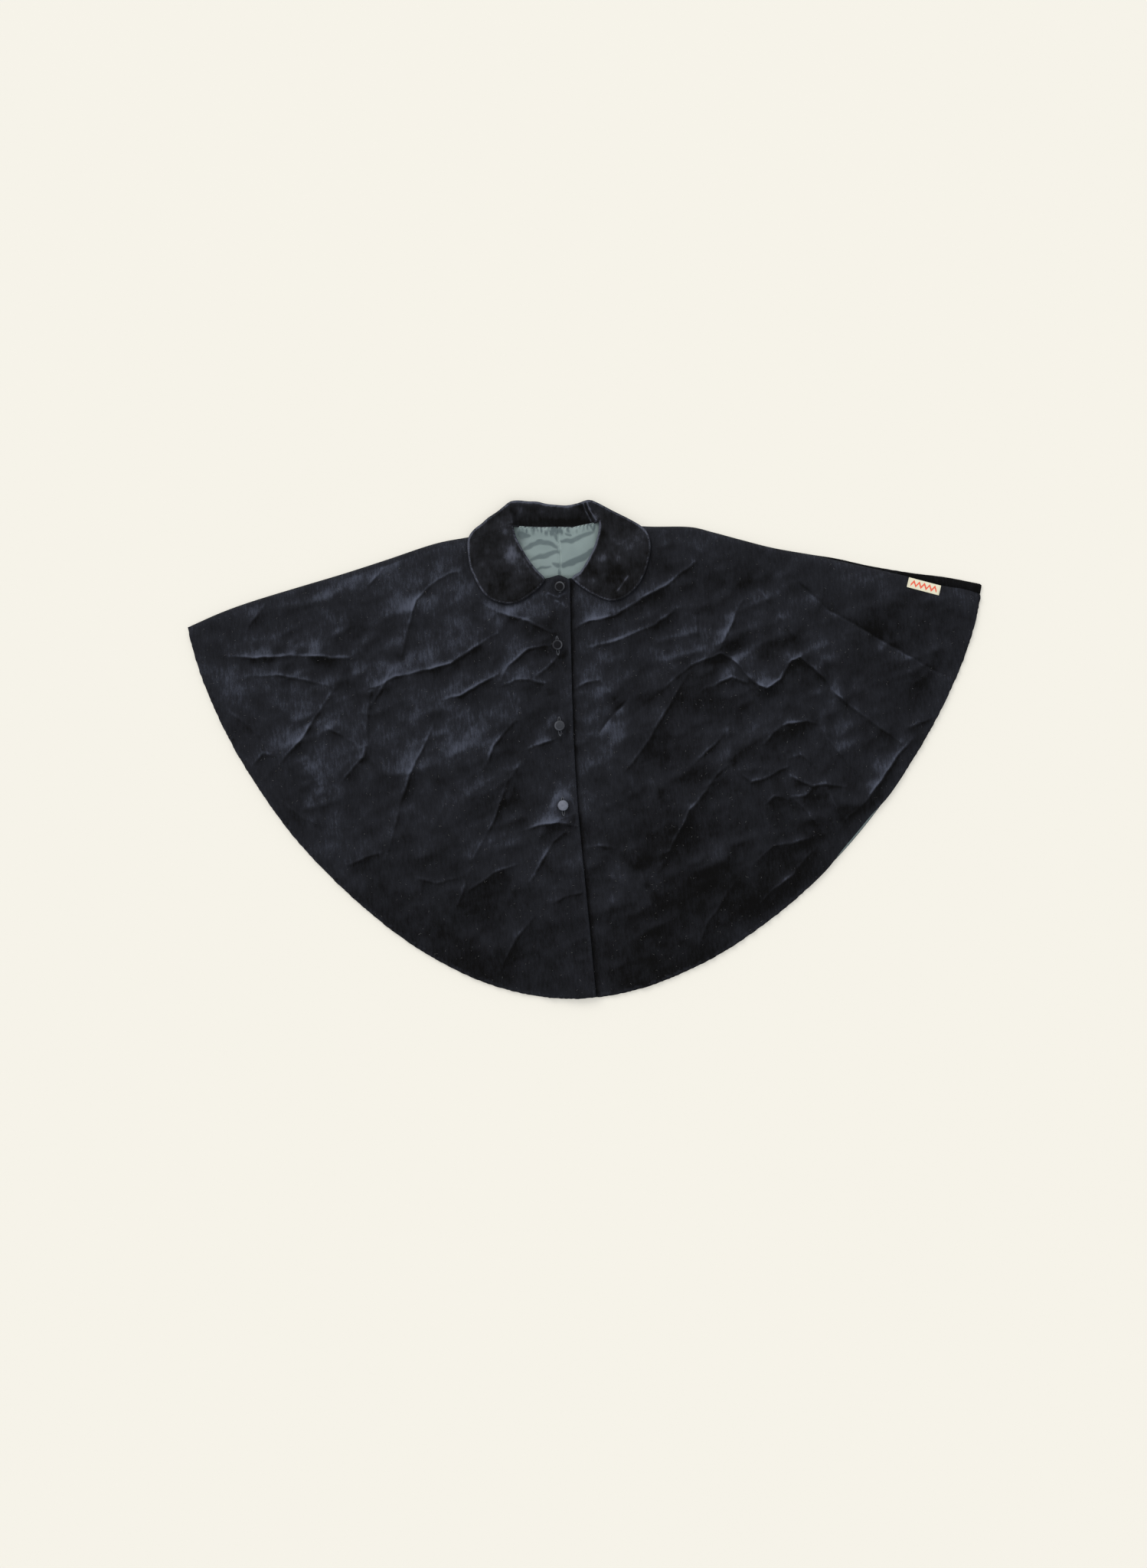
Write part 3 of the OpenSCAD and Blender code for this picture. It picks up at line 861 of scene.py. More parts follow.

# Satin finish for the lining: pale grey-green, smooth, with a fine diagonal
# twill, soft random bands, and painted shade where the satin turns from the light.
def satin_finish(name, light, dark):
    """light and dark are the satin's colours square to the light and turned from it."""
    made, tree, shader = new_finish(name, Specular_IOR_Level=0.35, Anisotropic=0.4)
    where = on_cloth(tree)
    bands = pattern(tree, "Noise", where, Scale=24.0, Detail=2.0, Roughness=0.45, Distortion=1.1)
    weave = node(tree, "ShaderNodeTexWave", Scale=900.0)
    weave.bands_direction = "DIAGONAL"
    tree.links.new(where, weave.inputs["Vector"])
    soft = ranged(tree, bands, From_Min=0.35, From_Max=0.65, To_Min=-0.10, To_Max=0.10)
    turned = sum_of(tree, stored(tree, "pile"), soft)
    tree.links.new(mixed(tree, light, dark, turned), shader.inputs["Base Color"])
    tree.links.new(ranged(tree, bands, To_Min=0.42, To_Max=0.55), shader.inputs["Roughness"])
    roughen(tree, shader, weave.outputs["Fac"], 0.15, 0.0001)
    return made


lining_satin = satin_finish("lining_satin", (0.214, 0.268, 0.258), (0.088, 0.118, 0.120))

# Back: one piece of velvet, pile side down, cut to the whole outline. It is
# sewn to both fronts at the shoulders, and its edges are turned in.
BACK_NET = 3.4
FRONT_NET = 3.15
LINING_NET = 4.5
COLLAR_NET = 1.5
back_velvet = cloth("back_velvet", back_cut, BACK_NET, back_top, velvet_thick, body_velvet,
                    steer=lambda x, y: np.where(inside(x, y, cape_cut), -0.05, -0.75))
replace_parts(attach(back_velvet, "back"), "back_panel")
declare(back_cut)

# Fronts: velvet, each sewn to the back along its shoulder and turned up at
# the hem. The wearer's right front has a vertical buttonhole at each button.
HOLE_LONG = 23.5


def slit(centre, width=2.0, long=HOLE_LONG, steps=30):
    """Outline of a worked buttonhole: a long pointed opening."""
    a = np.linspace(0, math.tau, steps, endpoint=False)
    x = np.sign(np.cos(a)) * width / 2 * np.abs(np.cos(a)) ** 0.8
    return np.stack([centre[0] + x, centre[1] - 1 + long / 2 * np.sin(a)], 1)


first_hole = 0.52
hole_lengths = [HOLE_LONG * (first_hole if n == 0 else 1) for n in range(len(BUTTONS))]
slits = [slit(p, 2.0, long) for p, long in zip(BUTTONS, hole_lengths)]
fine_spots = [(p[0], p[1] - 1, 19) for p in BUTTONS]


def turn_with_front(piece):
    """Bakes a piece's placing into its mesh."""
    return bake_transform(piece)


# Spots where the fronts are painted lighter or darker: middle, half length across and up, and how much.
# The dark spots under the neck opening and beside the collar are painted shade.
FRONT_TONE_AND_PAINTED_SHADE = [(-300, -95, 140, 60, -0.10), (-330, -250, 110, 90, 0.05),
                (412, -322, 34, 40, 0.07), (122, -44, 13, 22, -0.12), (270, -330, 90, 60, 0.05),
                (-10, -62, 30, 13, -0.22), (100, -46, 16, 20, -0.20), (-137, -20, 16, 15, -0.16),
                (-128, -58, 24, 14, 0.10), (400, -150, 60, 26, -0.10), (150, -130, 60, 30, 0.05)]
# Painted highlights on folds below the neck.
NECK_FOLD_HIGHLIGHTS = [[(-24, -74), (-12, -80), (1, -74)], [(-15, -84), (-7, -89), (0, -94)]]


def front_tone_and_painted_light(x, y):
    """How much lighter or darker the fronts are painted: lighter towards the top, darker towards the wearer's
    left, the listed spots, painted highlights on folds below the neck, lighter along part of the hem, and a
    painted highlight along the lap's edge.
    """
    wide = -0.13 + 0.22 * smooth(-560, -230, y) - 0.105 * smooth(-20, 120, x)
    for cx, cy, rx, ry, amount in FRONT_TONE_AND_PAINTED_SHADE:
        wide = wide + amount * spot(x, y, cx, cy, rx, ry)
    hem = gap(x, y, hem_left)
    wide = wide + 0.13 * ridge(hem, 24) * smooth(120, 260, x)
    for line in NECK_FOLD_HIGHLIGHTS:
        wide = wide + 0.3 * ridge(beside(x, y, np.array(line)), 1.6)
    lap = beside(x, y, lap_edge)
    # Painted highlight along the lap's edge.
    return wide + 0.16 * ridge(np.abs(lap) - 1.3, 0.9) * (lap * turn_of_lap > 0)


def under_lap_tone_and_painted_light(x, y):
    """The same, with painted shadow of the lapping front close to the lap's edge."""
    lap = gap(x, y, lap_edge)
    # Painted shadow of the lapping front along its edge.
    return front_tone_and_painted_light(x, y) - 0.42 * ridge(lap, 4.5)


def front_level(x, y):
    """The fronts' height without creases, which tells nothing of how the pile is brushed."""
    return smooth_level(x, y, from_folds(x, y))[0]


turn_of_lap = np.sign(beside(np.array([-20.0]), np.array([-300.0]), lap_edge)[0])
right_velvet = cloth("right_front_velvet", right_front_cut, FRONT_NET, front_top, velvet_thick,
                     body_velvet, slits, fine_spots, True, front_tone_and_painted_light, front_level)
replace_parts(turn_with_front(right_velvet), "right_front_panel")
declare(right_front_cut)
left_velvet = cloth("left_front_velvet", left_front_cut, FRONT_NET, under_lap_top, velvet_thick,
                    body_velvet, creased=True, steer=under_lap_tone_and_painted_light, level_of=front_level)
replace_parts(turn_with_front(left_velvet), "left_front_panel")
declare(left_front_cut)

# Lining: pale satin, a half each side of a centre-back seam and one in each
# front, caught to the turned-up hem. It puckers where it is sewn at the neck.
def inset(cut, distance):
    """An outline moved in by a distance."""
    ring = evenly(cut, 3)
    along = np.roll(ring, -1, axis=0) - np.roll(ring, 1, axis=0)
    along /= np.linalg.norm(along, axis=1)[:, None] + 1e-9
    inward = np.stack([-along[:, 1], along[:, 0]], 1)
    probe = ring + inward * 0.5
    if inside(*probe.T, ring).mean() < 0.5:
        inward = -inward
    moved = ring + inward * distance
    far = gap(*moved.T, ring, True)
    return moved[(far > distance * 0.97) & inside(*moved.T, ring)]


def keep_side(cut, point, normal):
    """The part of an outline on one side of a straight line."""
    side = (cut - np.array(point)) @ np.array(normal, float)
    out = []
    for i in range(len(cut)):
        j = (i + 1) % len(cut)
        if side[i] >= 0:
            out.append(cut[i])
        if (side[i] > 0) != (side[j] > 0) and side[i] != side[j]:
            out.append(cut[i] + (cut[j] - cut[i]) * side[i] / (side[i] - side[j]))
    return np.array(out)


def under(top_of, depth):
    """The surface a depth below another, measured square to it."""
    def lower(x, y):
        z, step = top_of(x, y), 0.8
        gx = (top_of(x + step, y) - z) / step
        gy = (top_of(x, y + step) - z) / step
        return z - depth * np.sqrt(1 + np.minimum(gx * gx + gy * gy, 4))
    return lower


def neck_space(x, y):
    """One inside the neck opening, nought well away from it."""
    return smooth(-64, -52, x) * smooth(52, 40, x) * smooth(-66, -50, y)


def back_lining_top(x, y):
    """The lining on the back: nearly flat, but in soft waves and puckers inside the neck."""
    neck = neck_space(x, y)
    seam = ridge(x + 7, 1.1)
    under_seam = np.maximum(0, -beside(x, y, neck_seam))
    pucker = np.exp(-under_seam / 7) * (ripple(x, y * 0.35, 4.2, 31) + 0.6 * ripple(x, y * 0.3, 2.4, 32))
    wave = ripple(x * 0.5 + y * 0.18, y, 11, 33)
    loft = 0.75 + 0.22 * ripple(x, y, 26, 34) + neck * (1.35 + 0.7 * wave + 0.75 * pucker)
    loft = loft + neck * 2.6 * smooth(4, -46, y)
    return back_top(x, y) + loft - 0.4 * seam * neck


back_seam_top, back_seam_foot = (-5.3, 11.0), (-9.0, -594.0)
seam_across = np.array([back_seam_top[1] - back_seam_foot[1], back_seam_foot[0] - back_seam_top[0]])
seam_across = seam_across / np.linalg.norm(seam_across)
seam_gap = 0.12
lining_neck = neck_seam + (0, 0.3)
back_inside = inset(np.vstack([shoulder_right[::-1][:-1], lining_neck[:-1] + (0, 8), seam_left[:-1],
                               hem_left[::-1][:-1], hem_right[::-1][:-1]]), 8)


def with_neck_edge(cut):
    """An outline whose top edge is taken down to the neck seam."""
    ring = evenly(cut, 1.5)
    low = np.interp(ring[:, 0], lining_neck[:, 0], lining_neck[:, 1])
    near = (ring[:, 0] > -66) & (ring[:, 0] < 50) & (ring[:, 1] > 0)
    ring[near, 1] = low[near]
    return ring


back_inside = with_neck_edge(back_inside)
# On the wearer's left the back lining reaches past the front's hem, and shows there as a sliver
sag = (back_inside[:, 0] > 300) & (back_inside[:, 0] < 420) & (back_inside[:, 1] < -330)
sag_out = back_inside + np.array([0.62, -0.78]) * 6.4
back_inside[sag] = sag_out[sag]
right_back_lining_cut = keep_side(back_inside, back_seam_top - seam_across * seam_gap, -seam_across)
left_back_lining_cut = keep_side(back_inside, back_seam_top + seam_across * seam_gap, seam_across)
# Where the satin turns from the light inside the neck: each line and its half width
SATIN_SHADE_LINES = [([(-52, -15), (-42, -9.5), (-33.5, -6.7), (-22, -7), (-15.6, -9.5), (-8, -14.5)], 4.2),
         ([(-45, -28.5), (-36, -25), (-26.7, -24.6), (-18, -22), (-10.4, -19.8), (-4.1, -20.6)], 3.4),
         ([(-5, -7), (1, -7.5), (6.5, -7.5), (14, -6), (22.9, -2.6), (31, 0), (40, 2)], 3.6),
         ([(-14.5, -35.6), (-6, -38), (2, -37.5), (10, -35), (18, -32), (29.2, -28), (42, -18)], 4.6),
         ([(-44, -42), (-36, -41), (-27.8, -39.8), (-17.7, -38.9)], 1.8),
         ([(4, 2.4), (7, 0.4), (11, -0.6)], 1.6), ([(-60, 11), (-54, 4), (-43, 3)], 3.2),
         ([(-12, 5), (-9, -1), (-7, -6)], 2.6), ([(-7, -44), (-8, -52), (-9, -60)], 2.2)]


def satin_painted_light(x, y):
    """Painted light inside the neck: painted shade in bands where the satin turns from the light, painted
    shade in the gathers below the neck seam with painted highlights on the crinkles at it, painted shade
    beside the centre-back seam with a painted highlight on it, and painted shadow in the corner under the
    collar's roll; nought away from the neck.
    """
    shade = np.zeros(x.shape)
    wx, wy = x + 1.2 * ripple(x, y, 7, 61), y + 1.2 * ripple(x, y, 7, 62)
    for line, half_width in SATIN_SHADE_LINES:
        d, share = line_distance(wx, wy, through(line, 5))
        width = 0.92 * half_width * (0.35 + 0.65 * np.sin(math.pi * np.clip(share, 0, 1)) ** 0.5)
        shade = np.maximum(shade, 0.85 * smooth(width + 1.1, width - 1.1, np.abs(d)))
    # Painted shade in the gathers below the neck seam, and painted highlights on the crinkles just under it.
    below = np.maximum(0, -beside(x, y, neck_seam))
    pucker_shade = 0.55 + 1.5 * ripple(x, y * 0.35, 4.2, 31) + 1.3 * ripple(x, y * 0.3, 2.4, 32)
    shade = np.maximum(shade, np.clip(pucker_shade, 0, 1.5) * smooth(13, 4, below + 3 * ripple(x, y, 12, 63)))
    shade = shade - 0.7 * np.clip(ripple(x, y * 0.5, 1.9, 64) + 0.15, 0, 1) * smooth(4.5, 1.5, below)
    # Painted shade beside the centre-back seam and a painted highlight on it.
    from_seam = x - (back_seam_top[0] + (y - back_seam_top[1]) * 0.006)
    shade = shade + 0.30 * ridge(from_seam + 1.8, 1.0) - 0.45 * ridge(from_seam, 0.8)
    # Painted shadow in the corner under the collar's roll.
    shade = shade + spot(x, y, -56, 3, 8, 11)
    return shade * neck_space(x, y)


NECK_MIDDLE = (-6, -20, 66)
for side, cut in (("right", right_back_lining_cut), ("left", left_back_lining_cut)):
    half = cloth(f"back_lining_{side}_half", cut, LINING_NET, back_lining_top, back_lining_thick,
                 lining_satin, fine=[NECK_MIDDLE])
    shade = 0.12 + 0.95 * satin_painted_light(*flat_places(half).T)
    half.data.attributes["pile"].data.foreach_set("value", shade.astype(np.float32))
    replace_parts(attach(half, "back"), f"back_lining_{side}")
    declare(cut)

# Each front's satin hangs a little free of its velvet
RIGHT_SLACK, LEFT_SLACK = 0.95, 0.7
facing_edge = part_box("right_front_facing")[0].x * 1000 - 1
left_facing_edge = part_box("left_front_facing")[1].x * 1000
HEM_TURN_UP = 9
right_inside = inset(right_front_cut, HEM_TURN_UP)
left_inside = inset(left_front_cut, HEM_TURN_UP)
right_lining_cut = keep_side(right_inside, (facing_edge, 0), (-1, 0.02))
left_lining_cut = keep_side(left_inside, (left_facing_edge, 0), (1, -0.02))
right_lining_top = under(front_top, velvet_thick + RIGHT_SLACK)
left_lining_top = under(under_lap_top, velvet_thick + LEFT_SLACK)
for side, cut, top_of in (("right", right_lining_cut, right_lining_top),
                          ("left", left_lining_cut, left_lining_top)):
    half = cloth(f"{side}_front_satin", cut, LINING_NET, top_of, lining_thick, lining_satin)
    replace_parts(turn_with_front(half), f"{side}_front_lining")
    declare(cut)

# Facings and neck tapes: navy cotton sateen strips sewn inside each front's
# edge, and a narrow cotton tape sewn over the raw edge of the neck.
def crossed(tree, where, **values):
    """Threads running both ways: how much shows of each."""
    made = []
    for direction in "XY":
        wave = node(tree, "ShaderNodeTexWave", **values)
        wave.bands_direction = direction
        tree.links.new(where, wave.inputs["Vector"])
        made.append(wave.outputs["Fac"])
    return made


def woven_finish(name, dark, light, threads, roughness=0.8):
    """A plain weave of fine threads, with a little colour change from thread to thread."""
    made, tree, shader = new_finish(name, Roughness=roughness, Sheen_Weight=0.2)
    where = tree.nodes.new("ShaderNodeTexCoord").outputs["Object"]
    over = sum_of(tree, *crossed(tree, where, Scale=threads, Distortion=0.4), "MULTIPLY")
    uneven = pattern(tree, "Noise", where, Scale=60.0, Detail=3.0)
    share = sum_of(tree, over, uneven, "MULTIPLY")
    tree.links.new(mixed(tree, dark, light, share), shader.inputs["Base Color"])
    roughen(tree, shader, over, 0.3, 0.0001)
    return made


facing_sateen = woven_finish("facing_sateen", (0.012, 0.014, 0.024), (0.03, 0.035, 0.055), 700.0)
tape_cotton = woven_finish("tape_cotton", (0.014, 0.016, 0.026), (0.04, 0.045, 0.065), 500.0)
facing_thick = 0.5
FACING_IN = 1.6
right_edge_inside = inset(right_front_cut, FACING_IN)
left_edge_inside = inset(left_front_cut, FACING_IN)
right_facing_cut = keep_side(right_edge_inside, (facing_edge + 0.6, 0), (1, -0.02))
left_facing_cut = keep_side(left_edge_inside, (left_facing_edge - 0.6, 0), (-1, 0.02))
inner_slits = [slit(p, 2.8, long + 0.8) for p, long in zip(BUTTONS, hole_lengths)]
for side, cut, top_of, holes in (("right", right_facing_cut, right_lining_top, inner_slits),
                                 ("left", left_facing_cut, left_lining_top, [])):
    strip = cloth(f"{side}_front_edge_facing", cut, LINING_NET, top_of, facing_thick, facing_sateen,
                  holes, fine_spots if holes else ())
    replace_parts(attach(strip, side + "_front"), f"{side}_front_facing")
    declare(cut)


def band_along(line, near, far):
    """A strip between two distances to the left of a line."""
    run = evenly(line, 2.0, closed=False)
    along = np.gradient(run, axis=0)
    along /= np.linalg.norm(along, axis=1)[:, None]
    left = np.stack([-along[:, 1], along[:, 0]], 1)
    return np.vstack([run + left * near, (run + left * far)[::-1]])


right_tape_cut = band_along(front_neck_right[8:72], -6.5, -0.8)
left_tape_cut = band_along(front_neck_left[26:-8], -6.5, -0.8)
back_tape_cut = band_along(neck_run[6:-6], -9.0, -2.6)
tape_drop = velvet_thick + facing_thick + 1.05
TAPE_THICK = 0.35
TAPE_NET = 2.0
tapes = [("right_front_neck_tape", right_tape_cut, under(front_top, tape_drop), "right_front"),
         ("left_front_neck_tape", left_tape_cut, under(under_lap_top, tape_drop), "left_front"),
         ("back_neck_tape", back_tape_cut, lambda x, y: back_top(x, y) + 0.55, "back")]
for cad_name, cut, top_of, body in tapes:
    tape = cloth(cad_name + "_strip", cut, TAPE_NET, top_of, TAPE_THICK, tape_cotton)
    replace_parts(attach(tape, body), cad_name)
    declare(cut)

# Collar: flat and rounded, of velvet over a stiff interlining, sewn into the
# neck seam. It stands up, rolls and lies on the fronts; behind, it is folded.
collar_velvet = velvet_finish("collar_velvet", (0.0042, 0.0040, 0.0037), (0.0165, 0.0168, 0.0196),
                              (0.078, 0.083, 0.106))
interlining_felt = woven_finish("interlining_felt", (0.30, 0.30, 0.28), (0.45, 0.45, 0.42), 300.0, 0.95)
COLLAR_THICK = 3.4
INTERLINING_IN, UNDER_IN = 3.0, 2.2
COLLAR_CREASES = [[(37.5, 41), (41, 30), (46, 17)], [(35, 42), (37, 31), (43, 20)]]


def collar_base(x, y):
    """What the collar lies on, as one smooth surface with no creases."""
    fold = from_folds(x, y)
    fold = np.where(inside(x, y, cape_cut), fold, -np.abs(fold) * 1.1)
    level = smooth_level(x, y, 9 * np.logaddexp(0, fold / 9))[0] - 0.05 * np.maximum(-fold, 0)
    level = level - lap_step * smooth(0, 12, x) * (1 - smooth(4, 70, x)) * smooth(8, -8, y)
    return np.maximum(level, 0.6)


def collar_top(x, y):
    """Top of the collar: highest along the roll, low in the band behind the neck."""
    to_right, to_left = beside(x, y, roll_right), beside(x, y, roll_left)
    to_roll = np.minimum(np.abs(to_right), np.abs(to_left))
    lift = 0.5 * ripple(x, y, 34, 41) + 0.25 * ripple(x, y, 15, 42)
    base = collar_base(x, y) + COLLAR_THICK + 0.3
    wing = base + 1.3 * np.exp(-to_roll / 16) + lift
    up = np.interp(x, neck_seam[:, 0], neck_seam[:, 1])
    t = (y - up + 1.2) / 32
    band = 2.6 + 6.6 * smooth(-0.15, 1.0, t) + 0.5 * ripple(x, y, 18, 43) * smooth(0.1, 0.5, t)
    band = band - 1.8 * smooth(0.9, 1.15, t)
    turn = smooth(0.5, 9, to_roll)
    in_band = (to_right < 0) & (to_left > 0) & (y > up - 3)
    height = np.where(in_band, wing + (band - wing) * turn, wing)
    outline = gap(x, y, collar_cut, True)
    drop = 1 - np.sqrt(1 - (1 - np.clip(outline / 3.2, 0, 1)) ** 2)
    height = height - 1.9 * drop * smooth(8, 3, to_roll) * smooth(20, 12, y)
    for crease in COLLAR_CREASES:
        d = beside(x, y, through(crease, 5))
        height = height + 0.5 * np.exp(-np.abs(d) / 1.3)
    return height - 0.7 * np.exp(-outline / 1.3)


# Spots where the collar is painted lighter or darker, partly its own tone and partly painted highlight and
# painted shade, as along the band's foot: middle, half length across and up, and how much
COLLAR_TONE_AND_PAINTED_LIGHT = [(-70, -22, 13, 17, 0.27), (-58, -46, 11, 13, 0.16), (-104, -46, 8, 16, 0.15),
           (-55, 33, 7, 8, 0.24), (-22, 35, 9, 6, 0.15), (10, 33, 8, 5, 0.12), (-75, 10, 9, 10, 0.08),
           (15, -56, 7, 7, 0.26), (46, -33, 8, 8, 0.26), (78, -32, 17, 13, 0.10), (66, -6, 10, 14, 0.10),
           (31, -60, 8, 6, 0.18), (49, -55, 6, 6, 0.12), (36, -27, 5, 7, -0.12), (24, -50, 5, 8, -0.10),
           (-100, 12, 16, 12, -0.12), (-84, 32, 16, 8, -0.10), (-90, -62, 14, 12, -0.08),
           (62, -60, 12, 14, -0.10), (-12, 30, 44, 14, 0.20), (-15, 17, 40, 3.5, -0.16),
           (92, 8, 12, 8, -0.08)]
# Painted highlights along lines, on crease crests and along the roll: the line, how much and how wide
COLLAR_PAINTED_HIGHLIGHTS = [([(66, -77), (72, -70), (81, -59)], 0.30, 1.3),
               ([(-34, -55), (-44, -44), (-52, -28)], 0.14, 2.5),
               ([(34, 42), (38, 30), (45, 17)], 0.42, 1.1),
               ([(29, 41), (32.5, 29), (38.5, 16)], 0.42, 1.0),
               ([(-60, 12), (-53, -8), (-44, -26)], 0.16, 2.2),
               ([(44, -6), (36, -22), (24, -42)], 0.16, 2.2)]


def collar_light_and_tone(x, y):
    """The collar's painted highlights and painted shade, its own patchy tone, and a painted highlight along
    its edge.
    """
    wx, wy = x + 4 * ripple(x, y, 16, 44), y + 4 * ripple(x, y, 16, 45)
    total = np.zeros(x.shape)
    for cx, cy, rx, ry, amount in COLLAR_TONE_AND_PAINTED_LIGHT:
        total += amount * spot(wx, wy, cx, cy, rx, ry)
    for line, amount, width in COLLAR_PAINTED_HIGHLIGHTS:
        total += amount * ridge(beside(x, y, through(line, 5)), width)
    outline = gap(x, y, collar_cut, True)
    # Painted highlight along the collar's edge.
    total += 0.13 * ridge(outline, 1.5) * smooth(25, 5, y)
    return 1.75 * total - 0.065 + 0.12 * ripple(x, y, 8, 46) + 0.07 * ripple(x, y, 3.5, 47)


def collar_pieces(label, shrink_edge, top_of, thick, finish, bottom_of=None):
    """Cuts one layer of the collar into band, shoulder parts and wings; the band goes on the back's body, and
    the others have their placing baked into their meshes.
    """
    cut = inset(collar_cut, shrink_edge) if shrink_edge else collar_cut
    folds = [[at - along * 30, at + along * 90] for at, along, _ in (right_fold, left_fold)]
    places, triangles = net_with_lines(cut, COLLAR_NET, [roll_right, roll_left, *folds])
    x, y = places.T
    height = top_of(x, y)
    middle = places[triangles].mean(1)
    mx, my = middle.T
    by_right = beside(mx, my, roll_right)
    by_left = beside(mx, my, roll_left)
    below_right = (middle - right_fold[0]) @ right_fold[2] > 0
    below_left = (middle - left_fold[0]) @ left_fold[2] > 0
    left_half = mx < -8
    in_band = (by_right < 0) & (by_left > 0) & (my > np.interp(mx, neck_seam[:, 0], neck_seam[:, 1]) - 4)
    in_band &= ~((np.abs(by_right) < 6) & below_right & left_half)
    in_band &= ~((np.abs(by_left) < 6) & below_left & ~left_half)
    parts = {
        "band": in_band,
        "right_shoulder": ~in_band & left_half & ~below_right,
        "right_wing": ~in_band & left_half & below_right,
        "left_shoulder": ~in_band & ~left_half & ~below_left,
        "left_wing": ~in_band & ~left_half & below_left,
    }
    whole_upper = np.column_stack([places, height])
    lower = whole_upper - normals_of(whole_upper, triangles) * thick
    low = lower[:, 2] if bottom_of is None else bottom_of(x, y, height)
    edge = gap(x, y, evenly(collar_cut, 1.5), True)
    # A light line along the edge: partly the edge seam and partly painted highlight.
    edge_seam_and_highlight = 0.55 * ridge(edge - 1.0, 0.9)
    pile = tone_and_painted_light_of(places, triangles, height, edge + 4, -0.09) + edge_seam_and_highlight + collar_light_and_tone(x, y)
    pile = np.clip(pile, 0, 1)
    for part, mask in parts.items():
        chosen = triangles[mask]
        used, own = only_used(places, chosen)
        name = f"{part}_collar_{label}"
        mesh, source = closed_sheet(name, places[used], own, height[used], thick, low[used])
        store(mesh, "pile", pile[used][source])
        piece = dressed(name, mesh, finish)
        side, _, kind = part.partition("_")
        if kind == "shoulder":
            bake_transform(piece)
        elif kind == "wing":
            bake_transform(piece)
        else:
            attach(piece, "back")
        stands_for = f"{side}_collar_{label}" if kind == "wing" else f"collar_back_{label}"
        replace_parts(piece, stands_for)
        outline = places[used]
        span = (outline.max(0) - outline.min(0)) * MM
        a, b, c = (places[chosen[:, k]] for k in range(3))
        area = np.abs(np.cross(b - a, c - a)).sum() / 2 * MM * MM
        if area < LEAST_SHARE * span[0] * span[1]:
            span = (area / (max(span) * 1.1), max(span) * 1.1)


def net_with_lines(cut, spacing, lines):
    """A net that has edges along given lines, so that it can be divided there."""
    ring = evenly(cut, spacing)
    runs = []
    for line in lines:
        run = evenly(np.array(line), spacing, closed=False)
        run = run[inside(*run.T, ring) & (gap(*run.T, ring, True) > spacing * 0.45)]
        for other in runs:
            if len(run) and len(other):
                run = run[gap(*run.T, other) > spacing * 0.45]
        if len(run) > 1:
            runs.append(run)
    low, high = cut.min(0) - spacing, cut.max(0) + spacing
    gx, gy = grid_over(low, high, spacing)
    keep = inside(gx, gy, cut) & (gap(gx, gy, ring, True) > 0.55 * spacing)
    for run in runs:
        keep &= gap(gx, gy, run) > 0.55 * spacing
    points = [*ring, *[p for run in runs for p in run], *zip(gx[keep], gy[keep])]
    edges = [(i, (i + 1) % len(ring)) for i in range(len(ring))]
    start = len(ring)
    for run in runs:
        jumps = np.linalg.norm(np.diff(run, axis=0), axis=1)
        edges += [(start + i, start + i + 1) for i in range(len(run) - 1) if jumps[i] < 2.5 * spacing]
        start += len(run)
    return joined_up(points, edges, ring)


def under_bottom(x, y, height):
    """Underside of the collar: on the fronts, and down to the table where it is folded behind."""
    up = np.interp(x, neck_seam[:, 0], neck_seam[:, 1])
    to_right, to_left = beside(x, y, roll_right), beside(x, y, roll_left)
    in_band = (to_right < 0) & (to_left > 0) & (y > up - 3)
    flat = np.minimum(height - 0.6, collar_base(x, y) + 0.35)
    return np.where(in_band, np.minimum(0.4, height - 0.4), flat)


UPPER_THICK, INTER_THICK, UNDER_THICK = 1.3, 0.5, 0.8
collar_pieces("upper", 0, collar_top, UPPER_THICK, collar_velvet)
collar_pieces("interlining", INTERLINING_IN, under(collar_top, UPPER_THICK + 0.15), INTER_THICK,
              interlining_felt)
collar_pieces("under", UNDER_IN, under(collar_top, UPPER_THICK + INTER_THICK + 0.35), UNDER_THICK,
              collar_velvet, under_bottom)

# Buttons: metal shells with their cloth covers gathered over them, sewn to
# the wearer's left front; two in dark velvet and two in lighter satin.
def button_finish(name, colour, gloss):
    """Cloth drawn tight over a button, mottled, and paler in a ring at its rim, with a painted highlight on
    the side towards the light.
    """
    made, tree, shader = new_finish(name, Roughness=gloss, Specular_IOR_Level=0.1, Sheen_Weight=0.05)
    where = tree.nodes.new("ShaderNodeTexCoord").outputs["Object"]
    mottle = pattern(tree, "Noise", where, Scale=260.0, Detail=4.0)
    weave = pattern(tree, "Noise", where, Scale=2600.0, Detail=1.0)
    cloth_colour = mixed(tree, [c * 0.6 for c in colour], [c * 1.35 for c in colour], mottle)
    pale_rim_and_highlight_colour = mixed(tree, cloth_colour, (0.17, 0.175, 0.195), stored(tree, "rub"))
    tree.links.new(pale_rim_and_highlight_colour, shader.inputs["Base Color"])
    roughen(tree, shader, weave, 0.4, 0.0002)
    return made


